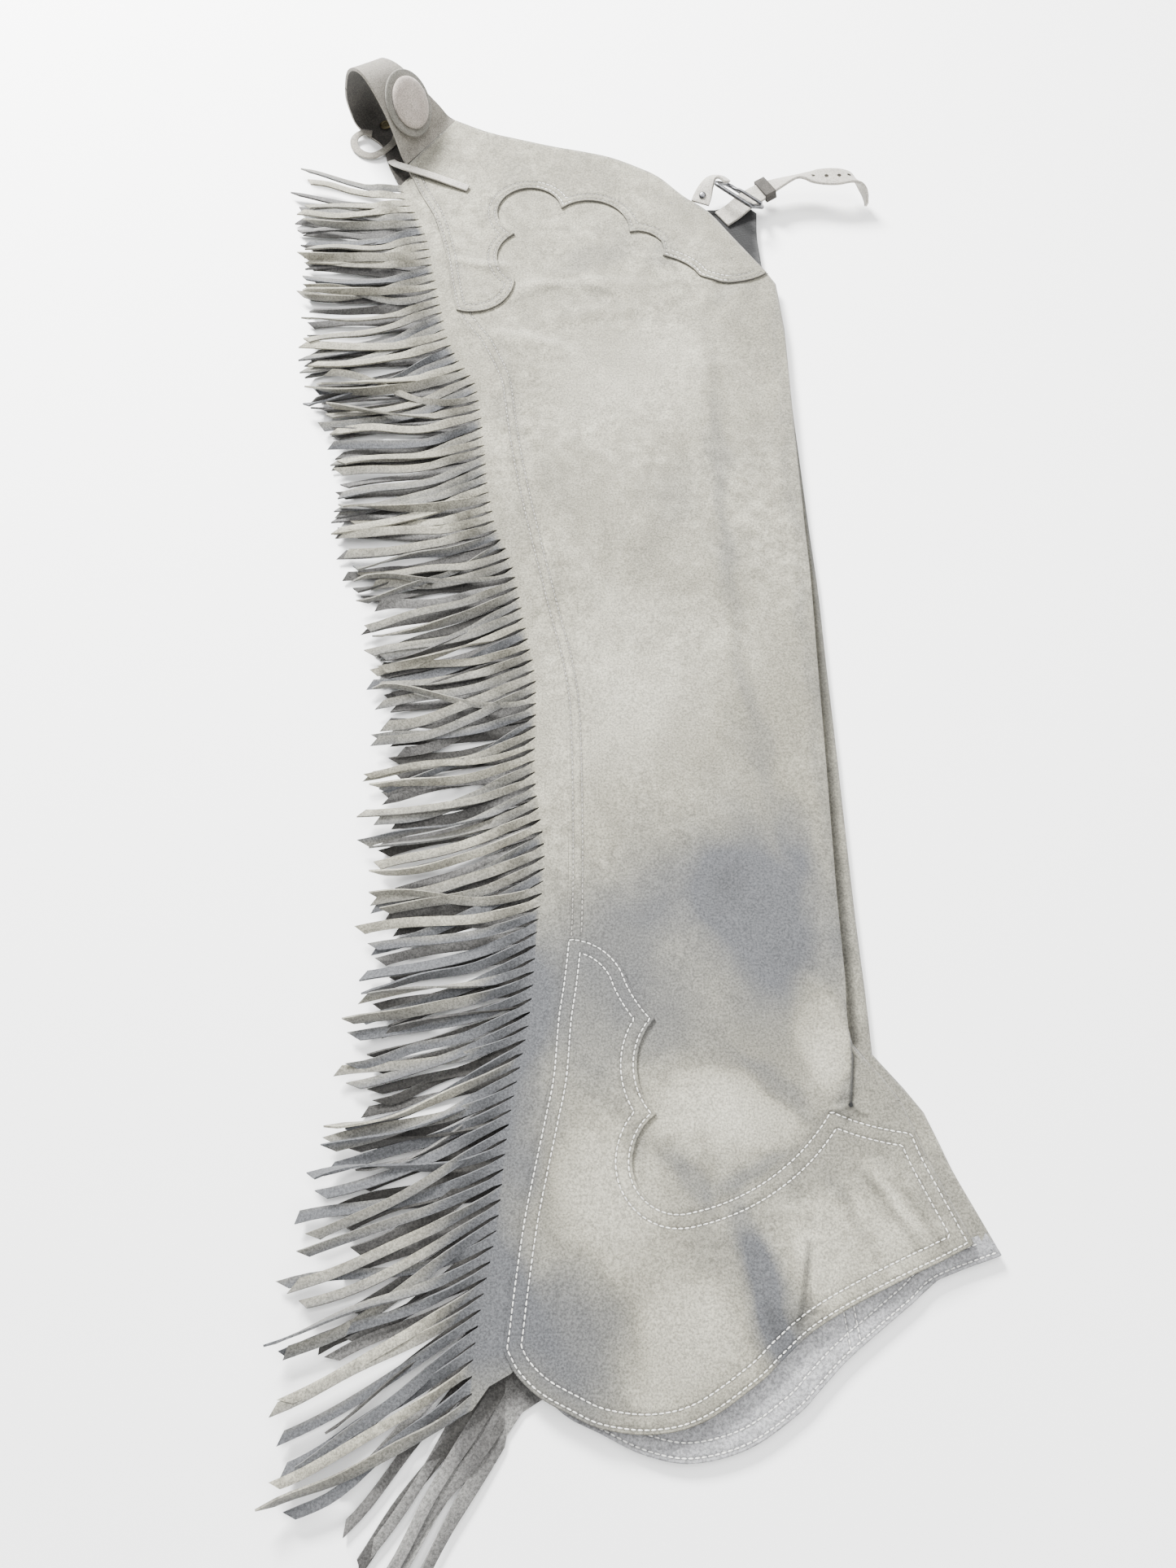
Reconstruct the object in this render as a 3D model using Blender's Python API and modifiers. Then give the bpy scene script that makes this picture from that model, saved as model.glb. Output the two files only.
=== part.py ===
"""Suede show chaps laid flat, the right leg on the left leg, joined at the belt.

Lengths in the tables are millimetres. The waist points to +Y, the fringe to -X, and the pair lies on Z = 0.
"""

import math
from collections import namedtuple

import bmesh
import bpy
from mathutils import Vector
from mathutils.geometry import delaunay_2d_cdt

MM = 0.001
SHARP_ANGLE = math.radians(40)

# Cloth and stack heights
SUEDE = 1.5
SEAM_GAP = 0.3
SEAT_GAP = 0.45
FRINGE_SUEDE = 1.3
OVERLAY_RISE = SUEDE + SEAM_GAP
UNDER_LEG_TOP = 5.6
UPPER_LEG_BASE = UNDER_LEG_TOP + SEAM_GAP
UPPER_GAP = 0.9
UPPER_LEG_EDGE = UPPER_LEG_BASE + 2 * SUEDE + UPPER_GAP
CROWN = 1.1
FOLD_INSET = 2.6
FOLD_STEPS = 3

# The upper leg's crown runs across this width and wanders along the leg with these wavelengths
CROWN_WIDTH = 200.0
CROWN_LONG_WAVE = 550.0
CROWN_SHORT_WAVE = 245.0
CROWN_SLANT_WAVE = 380.0

# Sampling of outlines
EDGE_STEP = 24.0
SCALLOP_STEP = 7.0
PANEL_GRID = 52.0
GRID_CLEARANCE = 9.0

# The under leg is turned and shifted a little from the upper one
UNDER_PIVOT = (150.0, 620.0)
UNDER_TURN = math.radians(1.5)
UNDER_SHIFT = -8.0

# Fringe
STRAND_PITCH = 8.9
STRAND_SLIT = 1.9
STRAND_WIDTH = 5.6
STRAND_PARTS = (0.12, 0.45, 0.75, 1.0)
CLUMP = 2.2
CLUMP_STRANDS = 14
STRAY = 1.4
TIP_SLANT = 3.0
LENGTH_SPREAD = 0.05

# Belt and small leather
BELT_THICK = 2.2
LACE_WIDTH = 6.2
LACE_THICK = 1.4
STRAP_WIDTH = 17.0
STRAP_THICK = 2.2
RIVET_RADIUS = 2.8
RIVET_HEIGHT = 1.2
CONCHO_RADIUS = 19.0
CONCHO_HEIGHT = 4.5
WASHER_RADIUS = 24.5
WASHER_THICK = 2.0

# Buckle
BUCKLE_LENGTH = 38.0
BUCKLE_WIDTH = 25.0
BUCKLE_WIRE = 1.6
BUCKLE_CORNER = 5.0
BUCKLE_CENTRE = Vector((122.0, 797.0, 16.5))
BELT_HEADING = Vector((0.745, -0.667, 0.0)).normalized()
BELT_ACROSS = Vector((0.54, 0.60, -0.59)).normalized()

# The belt loop is laid out from its near corner, along its run and across it
LOOP_CORNER = Vector((-149.0, 836.0, 0.0))
LOOP_RUN = Vector((-0.717, 0.697, 0.0)).normalized()
LOOP_ACROSS = Vector((0.697, 0.717, 0.0)).normalized()

Point = namedtuple("Point", "x y")
Cusp = namedtuple("Cusp", "x y bulge")
Crease = namedtuple("Crease", "x0 y0 x1 y1 height left right")
Station = namedtuple("Station", "near_run near_across near_z far_run far_across far_z")
Turn = namedtuple("Turn", "x y z width bank")
Hang = namedtuple("Hang", "y drop length")
Heights = namedtuple("Heights", "root middle tip")
Strip = namedtuple("Strip", "seam roots top end")

HEM = [
    Point(-46.3, -45.5), Point(-39, -57.3), Point(-27, -67.8), Point(7.5, -83.4), Point(35, -86),
    Point(62, -80), Point(92.5, -61.2), Point(122.5, -36.7), Point(160, -17), Point(216.5, 7.5),
]
FRONT_FOLD = [
    Point(218.2, 9), Point(196.6, 55.4), Point(191.5, 69.5), Point(184, 87.5), Point(173.7, 102),
    Point(157.6, 122), Point(157.6, 160), Point(156.8, 211), Point(157, 323), Point(156.8, 383),
    Point(156.9, 448), Point(155.7, 488), Point(153.4, 604), Point(152.4, 666), Point(148.5, 711),
    Point(143.5, 719),
]
WAIST = [
    Point(140.5, 720.5), Point(115, 758), Point(96.5, 785), Point(77, 802), Point(58, 822.5),
    Point(18.4, 844.3), Point(-28.6, 856.4), Point(-83, 873), Point(-111, 887),
]
BACK_CORNER = [Point(-111, 887), Point(-148.7, 835.7)]
BACK_SEAM = [
    Point(-148.7, 835.7), Point(-138, 808.5), Point(-124.7, 782), Point(-112.3, 738.7), Point(-102, 683),
    Point(-82, 648.7), Point(-68.9, 617.6), Point(-58.6, 550.4), Point(-46, 487), Point(-27.6, 407.6),
    Point(-16, 352), Point(-12.8, 265), Point(-13.5, 185), Point(-19.7, 134), Point(-22.2, 101),
    Point(-38, 20.5), Point(-45.2, -37.5), Point(-46.3, -45.5),
]
UNDER_HEM = [
    Point(-28.8, -58.4), Point(-21.2, -70), Point(-10, -79), Point(5.5, -85.8), Point(29.3, -96.1),
    Point(55.2, -100.3), Point(85.9, -93.4), Point(113, -77.2), Point(141.6, -51.1), Point(180.2, -22.5),
    Point(211, 1),
]
UNDER_WAIST = [
    Point(138.5, 728), Point(136, 765), Point(137, 789), Point(128, 799), Point(116, 797),
    Point(96, 792), Point(70, 802), Point(40, 824),
]
ROOT_LINE = [
    Point(-151, 817), Point(-149, 801.8), Point(-139.6, 785.8), Point(-128.9, 757.9), Point(-122.1, 723.9),
    Point(-113.5, 682.6), Point(-108.2, 658.5), Point(-98, 634.8), Point(-86.2, 616), Point(-80.3, 588.9),
    Point(-76, 552), Point(-71.9, 516), Point(-64.5, 481.5), Point(-53.5, 454.5), Point(-41.4, 396),
    Point(-35, 360), Point(-34.5, 294), Point(-27.5, 238), Point(-31.4, 190), Point(-35.4, 135),
    Point(-46.1, 73.8), Point(-51, 20.6), Point(-58.5, -21.4), Point(-62.6, -53.7), Point(-61.9, -75.1),
]
STRIP_TOP = [Point(-145.5, 823)]
STRIP_END = [Point(-53.5, -63.5), Point(-41.5, -57.0)]

# A scalloped edge is a row of arcs. Each arc runs from its cusp to the next one and bulges to its left.
YOKE_EDGE = [
    Cusp(-102, 683, -14), Cusp(-57.5, 713.1, 14), Cusp(-58.6, 760.5, 38), Cusp(-21.3, 787.6, 20),
    Cusp(33.4, 762.5, 11), Cusp(59.4, 737.4, 4), Cusp(88, 718, -8.5), Cusp(140.5, 720.5, 0),
]
TRIM_EDGE = [
    Cusp(-13.5, 185, 6), Cusp(22, 164, -2), Cusp(40.1, 134.4, -11), Cusp(39.8, 78.8, -4), Cusp(25.5, 50, -8),
    Cusp(53.8, 26, -11), Cusp(140.5, 82.5, -2), Cusp(191.5, 69.5, 0),
]

# Soft folds of the upper leg: a ridge from its first point to its last, with a foot on each side.
CREASES = [
    Crease(153, 128, 151, 84, 1.6, 14, 5),
    Crease(118, 22, 100, -38, 1.4, 12, 14),
    Crease(60, 455, 138, 440, 1.2, 20, 24),
    Crease(35, 560, 120, 590, 1.0, 22, 22),
    Crease(110, 300, 128, 190, 1.3, 20, 16),
]

BELT_LOOP = [
    Station(0.3, 0, 11.7, 8.6, 63, 11.7),
    Station(4, 0, 19, 14, 60, 15),
    Station(9, 0, 34, 18.7, 56.5, 23),
    Station(14, 0, 45, 23, 52, 31.5),
    Station(20, 0, 54.5, 27.5, 47.5, 40),
    Station(27, 0, 63, 33, 43.5, 48),
    Station(35, 0, 70, 40, 40, 55),
    Station(43, 0, 72.5, 47, 37, 58.5),
    Station(51, 0, 70.5, 54, 35, 58.5),
    Station(58, 0, 65, 61, 35, 55),
    Station(64, 0.5, 56, 66, 36, 48),
    Station(69, 1, 44, 70, 37.5, 38.5),
    Station(73, 2, 31, 73, 39, 28),
    Station(74, 4, 17, 74, 41, 16),
    Station(71.5, 5, 7, 72, 43, 7),
    Station(65, 6.5, 1.2, 66, 44.5, 1.2),
    Station(55, 7.5, 0, 56, 46, 0),
    Station(40, 7, 0, 42, 47.5, 0),
    Station(20, -4, 0, 22, 50, 0),
    Station(-7.1, -15.2, 0, 3.2, 47.6, 0),
]
CONCHO_STATION = 3.4
CONCHO_ACROSS = 0.5
EYELET_STATION = 16.0
EYELET_ACROSS = 0.45
EYELET_RADIUS = 5.2
EYELET_HOLE = 2.6
EYELET_HEIGHT = 1.2

# How the strands hang along the leg: degrees below level, and length
STRAND_HANG = [
    Hang(830, -10, 86), Hang(760, -4, 88), Hang(700, 5, 96), Hang(640, 9, 108), Hang(590, 8, 116),
    Hang(550, 11, 110), Hang(490, 13, 100), Hang(400, 14, 104), Hang(290, 14, 110), Hang(200, 15, 106),
    Hang(84, 17, 112), Hang(16, 21, 124), Hang(-40, 25, 116), Hang(-80, 30, 110),
]
UNDER_HANG = [
    Hang(830, -6, 84), Hang(700, 6, 94), Hang(590, 10, 112), Hang(400, 15, 102), Hang(200, 17, 106),
    Hang(60, 24, 112), Hang(0, 34, 118), Hang(-40, 46, 128), Hang(-90, 62, 122),
]
# Top skin of even and odd strands
UPPER_STRANDS = (Heights(8.6, 8.4, 7.7), Heights(8.6, 6.0, 5.7))
UNDER_STRANDS = (Heights(1.9, 3.8, 3.7), Heights(1.9, 1.9, 1.8))

LACE_LOOP = [
    Turn(-160.5, 884, 3.5, LACE_WIDTH, 0), Turn(-163.5, 871, 3.6, LACE_WIDTH, 0),
    Turn(-171.6, 861, 3.6, LACE_WIDTH, 0), Turn(-180, 857.5, 2.6, LACE_WIDTH, 0),
    Turn(-189, 860.5, 1.6, LACE_WIDTH, 0), Turn(-196, 868.5, 1.6, LACE_WIDTH, 0),
    Turn(-196.5, 876.5, 3.0, LACE_WIDTH, 0), Turn(-190, 881.2, 5.0, LACE_WIDTH * 0.9, 0),
    Turn(-182, 881, 4.2, LACE_WIDTH * 0.9, 0),
]
LACE_TAIL = [
    Turn(-164, 850, 3.5, LACE_WIDTH, 0), Turn(-160, 842, 8.0, LACE_WIDTH, 0),
    Turn(-152, 832.5, 12.7, LACE_WIDTH, 0), Turn(-140, 826, 13.2, LACE_WIDTH, 0),
    Turn(-120, 817, 13.1, LACE_WIDTH, 0), Turn(-97.5, 807.5, 13.1, LACE_WIDTH, 0),
]
FRONT_TAB = [
    Turn(90.8, 794.2, 10.9, 15, 0), Turn(93.0, 799.5, 13.2, 15, 8), Turn(95.8, 806, 16.8, 13, 20),
    Turn(99.8, 811.6, 19.4, 11, 30), Turn(105, 813.2, 19.9, 11, 36), Turn(109.4, 811.4, 19.7, 11, 36),
    Turn(112.8, 808.4, 18.9, 11, 36),
]
FRONT_STRAP = [
    Turn(108, 781, 7.2, STRAP_WIDTH, 0), Turn(118, 788, 8.8, STRAP_WIDTH, 0),
    Turn(128, 795.5, 12.2, STRAP_WIDTH, 0), Turn(138, 801, 14.5, STRAP_WIDTH, 2),
    Turn(150, 806.8, 17, STRAP_WIDTH, 18), Turn(166, 812.2, 20, STRAP_WIDTH, 38),
    Turn(176, 812.6, 21, STRAP_WIDTH, 28), Turn(184.5, 811, 22, STRAP_WIDTH, 8),
    Turn(198.4, 809.7, 23, STRAP_WIDTH, 0), Turn(210.5, 810.8, 22, STRAP_WIDTH, 0),
    Turn(219.5, 810.2, 16.5, STRAP_WIDTH, 0), Turn(225, 808.3, 9, STRAP_WIDTH * 0.92, 0),
    Turn(227, 806, 1.2, STRAP_WIDTH * 0.55, 0),
]
KEEPER_PLACE = 3.55
KEEPER_WIDTH = 9.0
KEEPER_WALL = 1.4
KEEPER_SIDE_ROOM = 0.4
KEEPER_ROOM = 1.2


def material(name, colour, roughness, metallic=0.0):
    """A plain Principled material."""
    made = bpy.data.materials.new(name)
    made.use_nodes = True
    shader = made.node_tree.nodes["Principled BSDF"]
    shader.inputs["Base Color"].default_value = (*colour, 1.0)
    shader.inputs["Roughness"].default_value = roughness
    shader.inputs["Metallic"].default_value = metallic
    return made


def between(a, b, c, d, t):
    """Value at t, from b to c, of the Catmull-Rom curve through four values in a row."""
    bend = 2 * a - 5 * b + 4 * c - d
    twist = 3 * b - a - 3 * c + d
    return 0.5 * (2 * b + (c - a) * t + bend * t**2 + twist * t**3)


def slope_between(a, b, c, d, t):
    """Slope of the same curve."""
    bend = 2 * a - 5 * b + 4 * c - d
    twist = 3 * b - a - 3 * c + d
    return 0.5 * ((c - a) + 2 * bend * t + 3 * twist * t**2)


def smooth(points, step):
    """Points along a Catmull-Rom curve through the given points, without the last one."""
    places = [Vector((p.x, p.y)) for p in points]
    places = [2 * places[0] - places[1]] + places + [2 * places[-1] - places[-2]]
    curve = []
    for a, b, c, d in zip(places, places[1:], places[2:], places[3:]):
        count = max(1, round((c - b).length / step))
        for k in range(count):
            spot = between(a, b, c, d, k / count)
            curve.append(Point(spot.x, spot.y))
    return curve


def scallops(cusps, step):
    """Points along a row of arcs, with both ends."""
    line = []
    for a, b in zip(cusps, cusps[1:]):
        start = Vector((a.x, a.y))
        chord = Vector((b.x, b.y)) - start
        half = chord.length / 2
        along = chord.normalized()
        left = Vector((-along.y, along.x))
        flat = max(abs(a.bulge), 0.01)
        radius = (half**2 + flat**2) / (2 * flat)
        reach = 2 * math.atan2(flat, half)
        count = max(1, round(2 * radius * reach / step))
        side = math.copysign(1.0, a.bulge)
        for k in range(count):
            angle = reach * (2 * k / count - 1)
            offset = along * (half + radius * math.sin(angle))
            rise = left * side * (radius * math.cos(angle) - radius * math.cos(reach))
            spot = start + offset + rise
            line.append(Point(spot.x, spot.y))
    line.append(Point(cusps[-1].x, cusps[-1].y))
    return line


def inset(points, distance):
    """The points moved to the left of their run, as seen from above."""
    moved = []
    for k, spot in enumerate(points):
        before = points[max(k - 1, 0)]
        after = points[min(k + 1, len(points) - 1)]
        along = Vector((after.x - before.x, after.y - before.y)).normalized()
        moved.append(Point(spot.x - along.y * distance, spot.y + along.x * distance))
    return moved


def under(points):
    """Where points of the upper leg lie on the under leg."""
    moved = []
    for spot in points:
        x = spot.x - UNDER_PIVOT[0]
        y = spot.y - UNDER_PIVOT[1]
        moved.append(
            spot._replace(
                x=UNDER_PIVOT[0] + x * math.cos(UNDER_TURN) - y * math.sin(UNDER_TURN),
                y=UNDER_PIVOT[1] + x * math.sin(UNDER_TURN) + y * math.cos(UNDER_TURN) + UNDER_SHIFT,
            )
        )
    return moved


def is_inside(x, y, loop):
    """Whether a place lies inside a closed loop."""
    found = False
    for a, b in zip(loop, loop[1:] + loop[:1]):
        if (a.y > y) != (b.y > y) and x < a.x + (b.x - a.x) * (y - a.y) / (b.y - a.y):
            found = not found
    return found


def nearest(spot, loop):
    """Index of the point of a loop nearest to a place."""
    return min(range(len(loop)), key=lambda k: math.hypot(loop[k].x - spot.x, loop[k].y - spot.y))


def triangles(loop, lines=(), spots=()):
    """Triangles that fill a loop and keep its lines as edges. Points come back in their given order."""
    points = list(loop)
    edges = [(k, (k + 1) % len(loop)) for k in range(len(loop))]
    for line in lines:
        first = nearest(line[0], loop)
        last = nearest(line[-1], loop)
        start = len(points)
        points.extend(line[1:-1])
        path = [first, *range(start, len(points)), last]
        edges.extend(zip(path, path[1:]))
    points.extend(spots)
    flat = [Vector((p.x, p.y)) for p in points]
    result = delaunay_2d_cdt(flat, edges, [list(range(len(loop)))], 1, 1e-4)
    source = {k: min(given) for k, given in enumerate(result[3]) if given}
    corners = []
    for face in result[2]:
        corners.append(tuple(source[k] for k in face))
    return points, corners


def grid_spots(loop, lines, spacing, clearance):
    """Places on a staggered grid inside a loop, clear of its edges and lines."""
    taken = list(loop)
    for line in lines:
        taken.extend(line)
    low_x = min(p.x for p in loop)
    low_y = min(p.y for p in loop)
    high_x = max(p.x for p in loop)
    high_y = max(p.y for p in loop)
    spots = []
    row = 0
    y = low_y + spacing / 2
    while y < high_y:
        x = low_x + spacing * (0.25 + 0.5 * (row % 2))
        while x < high_x:
            clear = all(math.hypot(p.x - x, p.y - y) > clearance for p in taken)
            if clear and is_inside(x, y, loop):
                spots.append(Point(x, y))
            x += spacing
        y += spacing * 0.87
        row += 1
    return spots


def crease_spots(creases):
    """Places on each ridge and at its feet."""
    spots = []
    for crease in creases:
        start = Vector((crease.x0, crease.y0))
        run = Vector((crease.x1, crease.y1)) - start
        left = Vector((-run.y, run.x)).normalized()
        for part in (0.0, 0.25, 0.5, 0.75, 1.0):
            for shift in (crease.left, 0.0, -crease.right):
                if shift and part in (0.0, 1.0):
                    continue
                spot = start + run * part + left * shift
                spots.append(Point(spot.x, spot.y))
    return spots


def crease_height(x, y):
    """Height that the soft folds add at a place."""
    total = 0.0
    for crease in CREASES:
        start = Vector((crease.x0, crease.y0))
        run = Vector((crease.x1, crease.y1)) - start
        length = run.length
        away = Vector((x, y)) - start
        part = away.dot(run) / length**2
        side = away.dot(Vector((-run.y, run.x))) / length
        width = crease.left if side > 0 else crease.right
        across = max(0.0, 1 - abs(side) / width)
        along = max(0.0, 1 - abs(2 * part - 1))
        total += crease.height * across * min(1.0, 2 * along)
    return total


def upper_crown(x, y):
    """Height of the upper leg's outer skin: flat at its edges and softly crowned between them."""
    seam = [p.x for p in sorted(BACK_SEAM, key=lambda p: abs(p.y - y))[:2]]
    across = (x - sum(seam) / 2) / CROWN_WIDTH
    swell = math.sin(math.pi * min(max(across, 0.0), 1.0))
    long_wave = math.sin(math.tau * y / CROWN_LONG_WAVE)
    short_wave = math.sin(math.tau * (y / CROWN_SHORT_WAVE + x / CROWN_SLANT_WAVE))
    wander = 0.6 + 0.25 * long_wave + 0.15 * short_wave
    return UPPER_LEG_EDGE + CROWN * swell * wander + crease_height(x, y)


def mesh_object(name, spots, faces, finish, thickness, collection, offset=-1.0):
    """An open skin given in millimetres, made a wall by Solidify."""
    mesh = bpy.data.meshes.new(name)
    mesh.from_pydata([Vector(spot) * MM for spot in spots], [], faces)
    mesh.materials.append(finish)
    mesh.update()
    item = bpy.data.objects.new(name, mesh)
    collection.objects.link(item)
    wall = item.modifiers.new("wall", "SOLIDIFY")
    wall.thickness = thickness * MM
    wall.offset = offset
    wall.use_rim = True
    mesh.shade_smooth()
    mesh.set_sharp_from_angle(angle=SHARP_ANGLE)


class Leg:
    """Outline of one leg, counterclockwise from the hem's back corner, and which of its points are folded."""

    def __init__(self, hem, fold, waist, corner, seam):
        self.loop = [*hem, *fold, *waist, *corner, *seam]
        self.fold = range(len(hem), len(hem) + len(fold) + 1)


def make_leg(name, leg, lines, creases, worked_height, plain_z, worked_up, finish, collection):
    """A suede panel folded round the leg's front. One layer is worked, with overlays on it, and one is plain."""
    spots = crease_spots(creases)
    spots += grid_spots(leg.loop, [*lines, spots], PANEL_GRID, GRID_CLEARANCE * 2)
    worked, faces = triangles(leg.loop, lines, spots)
    skin = [(p.x, p.y, worked_height(p.x, p.y)) for p in worked]
    plain, plain_faces = triangles(leg.loop)
    base = len(skin)
    skin += [(p.x, p.y, plain_z) for p in plain]
    up = 1 if worked_up else -1
    walls = [face[::up] for face in faces]
    walls += [tuple(base + k for k in face)[::-up] for face in plain_faces]
    columns = []
    for k in leg.fold:
        before = leg.loop[max(k - 1, leg.fold[0])]
        after = leg.loop[min(k + 1, leg.fold[-1])]
        along = Vector((after.x - before.x, after.y - before.y)).normalized()
        outward = Vector((along.y, -along.x, 0))
        high = Vector(skin[k] if worked_up else skin[base + k])
        low = Vector(skin[base + k] if worked_up else skin[k])
        column = [k if worked_up else base + k]
        radius = (high.z - low.z) / 2
        for step in range(1, FOLD_STEPS):
            angle = math.pi * step / FOLD_STEPS
            spot = (high + low) / 2 + outward * radius * math.sin(angle)
            spot.z += radius * math.cos(angle)
            column.append(len(skin))
            skin.append(tuple(spot))
        column.append(base + k if worked_up else k)
        columns.append(column)
    for here, there in zip(columns, columns[1:]):
        for step in range(FOLD_STEPS):
            walls.append((here[step], here[step + 1], there[step + 1], there[step]))
    mesh_object(name, skin, walls, finish, SUEDE, collection)
    return worked, faces


def make_overlay(name, worked, faces, loop, height, worked_up, finish, collection):
    """A piece that lies on the worked layer, made from that layer's own triangles."""
    kept = []
    for face in faces:
        x = sum(worked[k].x for k in face) / 3
        y = sum(worked[k].y for k in face) / 3
        if is_inside(x, y, loop):
            kept.append(face)
    used = sorted({k for face in kept for k in face})
    order = {k: place for place, k in enumerate(used)}
    lift = OVERLAY_RISE if worked_up else -OVERLAY_RISE
    skin = [(worked[k].x, worked[k].y, height(worked[k].x, worked[k].y) + lift) for k in used]
    up = 1 if worked_up else -1
    walls = [tuple(order[k] for k in face)[::up] for face in kept]
    mesh_object(name, skin, walls, finish, SUEDE, collection)


def overlay_loop(leg, first, last, line):
    """An overlay's loop: the leg's outline from its first point to its last one, then back along the line."""
    start = nearest(first, leg.loop)
    end = nearest(last, leg.loop)
    count = (end - start) % len(leg.loop)
    rim = [leg.loop[(start + k) % len(leg.loop)] for k in range(count + 1)]
    inner = line[1:-1]
    if math.hypot(inner[0].x - rim[-1].x, inner[0].y - rim[-1].y) > math.hypot(
        inner[-1].x - rim[-1].x, inner[-1].y - rim[-1].y
    ):
        inner = inner[::-1]
    return rim + inner


def along_line(line, distance):
    """Place at a distance along a polyline."""
    for a, b in zip(line, line[1:]):
        length = math.hypot(b.x - a.x, b.y - a.y)
        if distance <= length:
            part = distance / length
            return Point(a.x + (b.x - a.x) * part, a.y + (b.y - a.y) * part)
        distance -= length
    return line[-1]


def line_length(line):
    """Length of a polyline."""
    return sum(math.hypot(b.x - a.x, b.y - a.y) for a, b in zip(line, line[1:]))


def hang_at(rows, y):
    """Drop angle and length of the strands at a place along the leg."""
    above = rows[0]
    for row in rows:
        if row.y <= y:
            span = above.y - row.y
            part = (above.y - y) / span if span else 0.0
            drop = above.drop + (row.drop - above.drop) * part
            return math.radians(drop), above.length + (row.length - above.length) * part
        above = row
    return math.radians(rows[-1].drop), rows[-1].length


def scatter(number, seed):
    """A repeatable value from -1 to 1."""
    return 2 * math.modf(abs(math.sin(number * 12.9898 + seed * 78.233)) * 43758.5453)[0] - 1


def make_fringe(name, strip, hang, heights, seam_z, finish, collection, seed):
    """A narrow strip beside the back seam, with its strands fused to it."""
    usable = line_length(strip.roots)
    count = int(usable / STRAND_PITCH)
    pitch = usable / count
    roots = []
    for number in range(count):
        roots.append(along_line(strip.roots, number * pitch + STRAND_SLIT / 2))
        roots.append(along_line(strip.roots, (number + 1) * pitch - STRAND_SLIT / 2))
    edge = strip.seam[::-1]
    loop = edge + strip.top + roots + strip.end
    points, faces = triangles(loop)
    lifted = range(len(edge))
    skin = [(p.x, p.y, seam_z if k in lifted else heights[0].root) for k, p in enumerate(points)]
    walls = list(faces)
    first_root = len(edge) + len(strip.top)
    for number in range(count):
        upper = roots[2 * number]
        lower = roots[2 * number + 1]
        middle = Vector(((upper.x + lower.x) / 2, (upper.y + lower.y) / 2))
        drop, length = hang_at(hang, middle.y)
        length *= 1 + LENGTH_SPREAD * scatter(number, seed)
        heading = Vector((-math.cos(drop), -math.sin(drop)))
        side = Vector((heading.y, -heading.x))
        clump = CLUMP * math.sin(math.tau * number / CLUMP_STRANDS + seed)
        clump += STRAY * scatter(number, seed + 1)
        level = heights[number % 2]
        previous = (first_root + 2 * number, first_root + 2 * number + 1)
        for part in STRAND_PARTS:
            sway = clump * max(0.0, part - STRAND_PARTS[0]) ** 1.5
            centre = middle + heading * length * part + side * sway
            slant = heading * TIP_SLANT * scatter(number, seed + 3) * (part == 1.0)
            z = level.middle + (level.tip - level.middle) * max(0.0, 2 * part - 1)
            here = (len(skin), len(skin) + 1)
            for sign, shift in ((1, slant), (-1, -slant)):
                spot = centre + side * sign * STRAND_WIDTH / 2 + shift
                skin.append((spot.x, spot.y, z))
            walls.append((previous[0], here[0], here[1], previous[1]))
            previous = here
    mesh_object(name, skin, walls, finish, FRINGE_SUEDE, collection)


def loop_place(run, across, z):
    """Place on the belt loop from its distances along and across its run."""
    return LOOP_CORNER + LOOP_RUN * run + LOOP_ACROSS * across + Vector((0, 0, z))


def belt_place(station, across):
    """Place on the belt loop's outer skin, with the station as a running number."""
    first = min(int(station), len(BELT_LOOP) - 2)
    part = station - first
    ends = []
    for row in (BELT_LOOP[first], BELT_LOOP[first + 1]):
        near = loop_place(row.near_run, row.near_across, row.near_z)
        far = loop_place(row.far_run, row.far_across, row.far_z)
        ends.append(near.lerp(far, across))
    return ends[0].lerp(ends[1], part)


def belt_normal(station, across):
    """Outward direction of the belt loop's skin."""
    along = belt_place(station + 0.3, across) - belt_place(station - 0.3, across)
    aside = belt_place(station, across + 0.1) - belt_place(station, across - 0.1)
    return aside.cross(along).normalized()


def make_belt(finish, collection):
    """The belt strap, a skin through its stations."""
    columns = 4
    skin = []
    walls = []
    for number in range(len(BELT_LOOP)):
        for column in range(columns):
            skin.append(tuple(belt_place(number, column / (columns - 1))))
    for number in range(len(BELT_LOOP) - 1):
        for column in range(columns - 1):
            k = number * columns + column
            walls.append((k, k + 1, k + 1 + columns, k + columns))
    mesh_object("back_belt", skin, walls, finish, BELT_THICK, collection)


def turned(name, profile, steps, centre, normal, finish, collection):
    """A round piece from its profile of radius and height, standing on its base along the normal."""
    shape = bmesh.new()
    rows = []
    for radius, height in profile:
        rows.append([
            shape.verts.new((radius * MM * math.cos(a), radius * MM * math.sin(a), height * MM))
            for a in (2 * math.pi * k / steps for k in range(steps))
        ])
    for low, high in zip(rows, rows[1:]):
        for k in range(steps):
            n = (k + 1) % steps
            shape.faces.new((low[k], low[n], high[n], high[k]))
    shape.faces.new(rows[0][::-1])
    shape.faces.new(rows[-1])
    mesh = bpy.data.meshes.new(name)
    shape.to_mesh(mesh)
    shape.free()
    mesh.materials.append(finish)
    mesh.shade_smooth()
    mesh.set_sharp_from_angle(angle=SHARP_ANGLE)
    item = bpy.data.objects.new(name, mesh)
    item.rotation_mode = "QUATERNION"
    item.rotation_quaternion = normal.to_track_quat("Z", "Y")
    item.location = centre * MM
    collection.objects.link(item)


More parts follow.
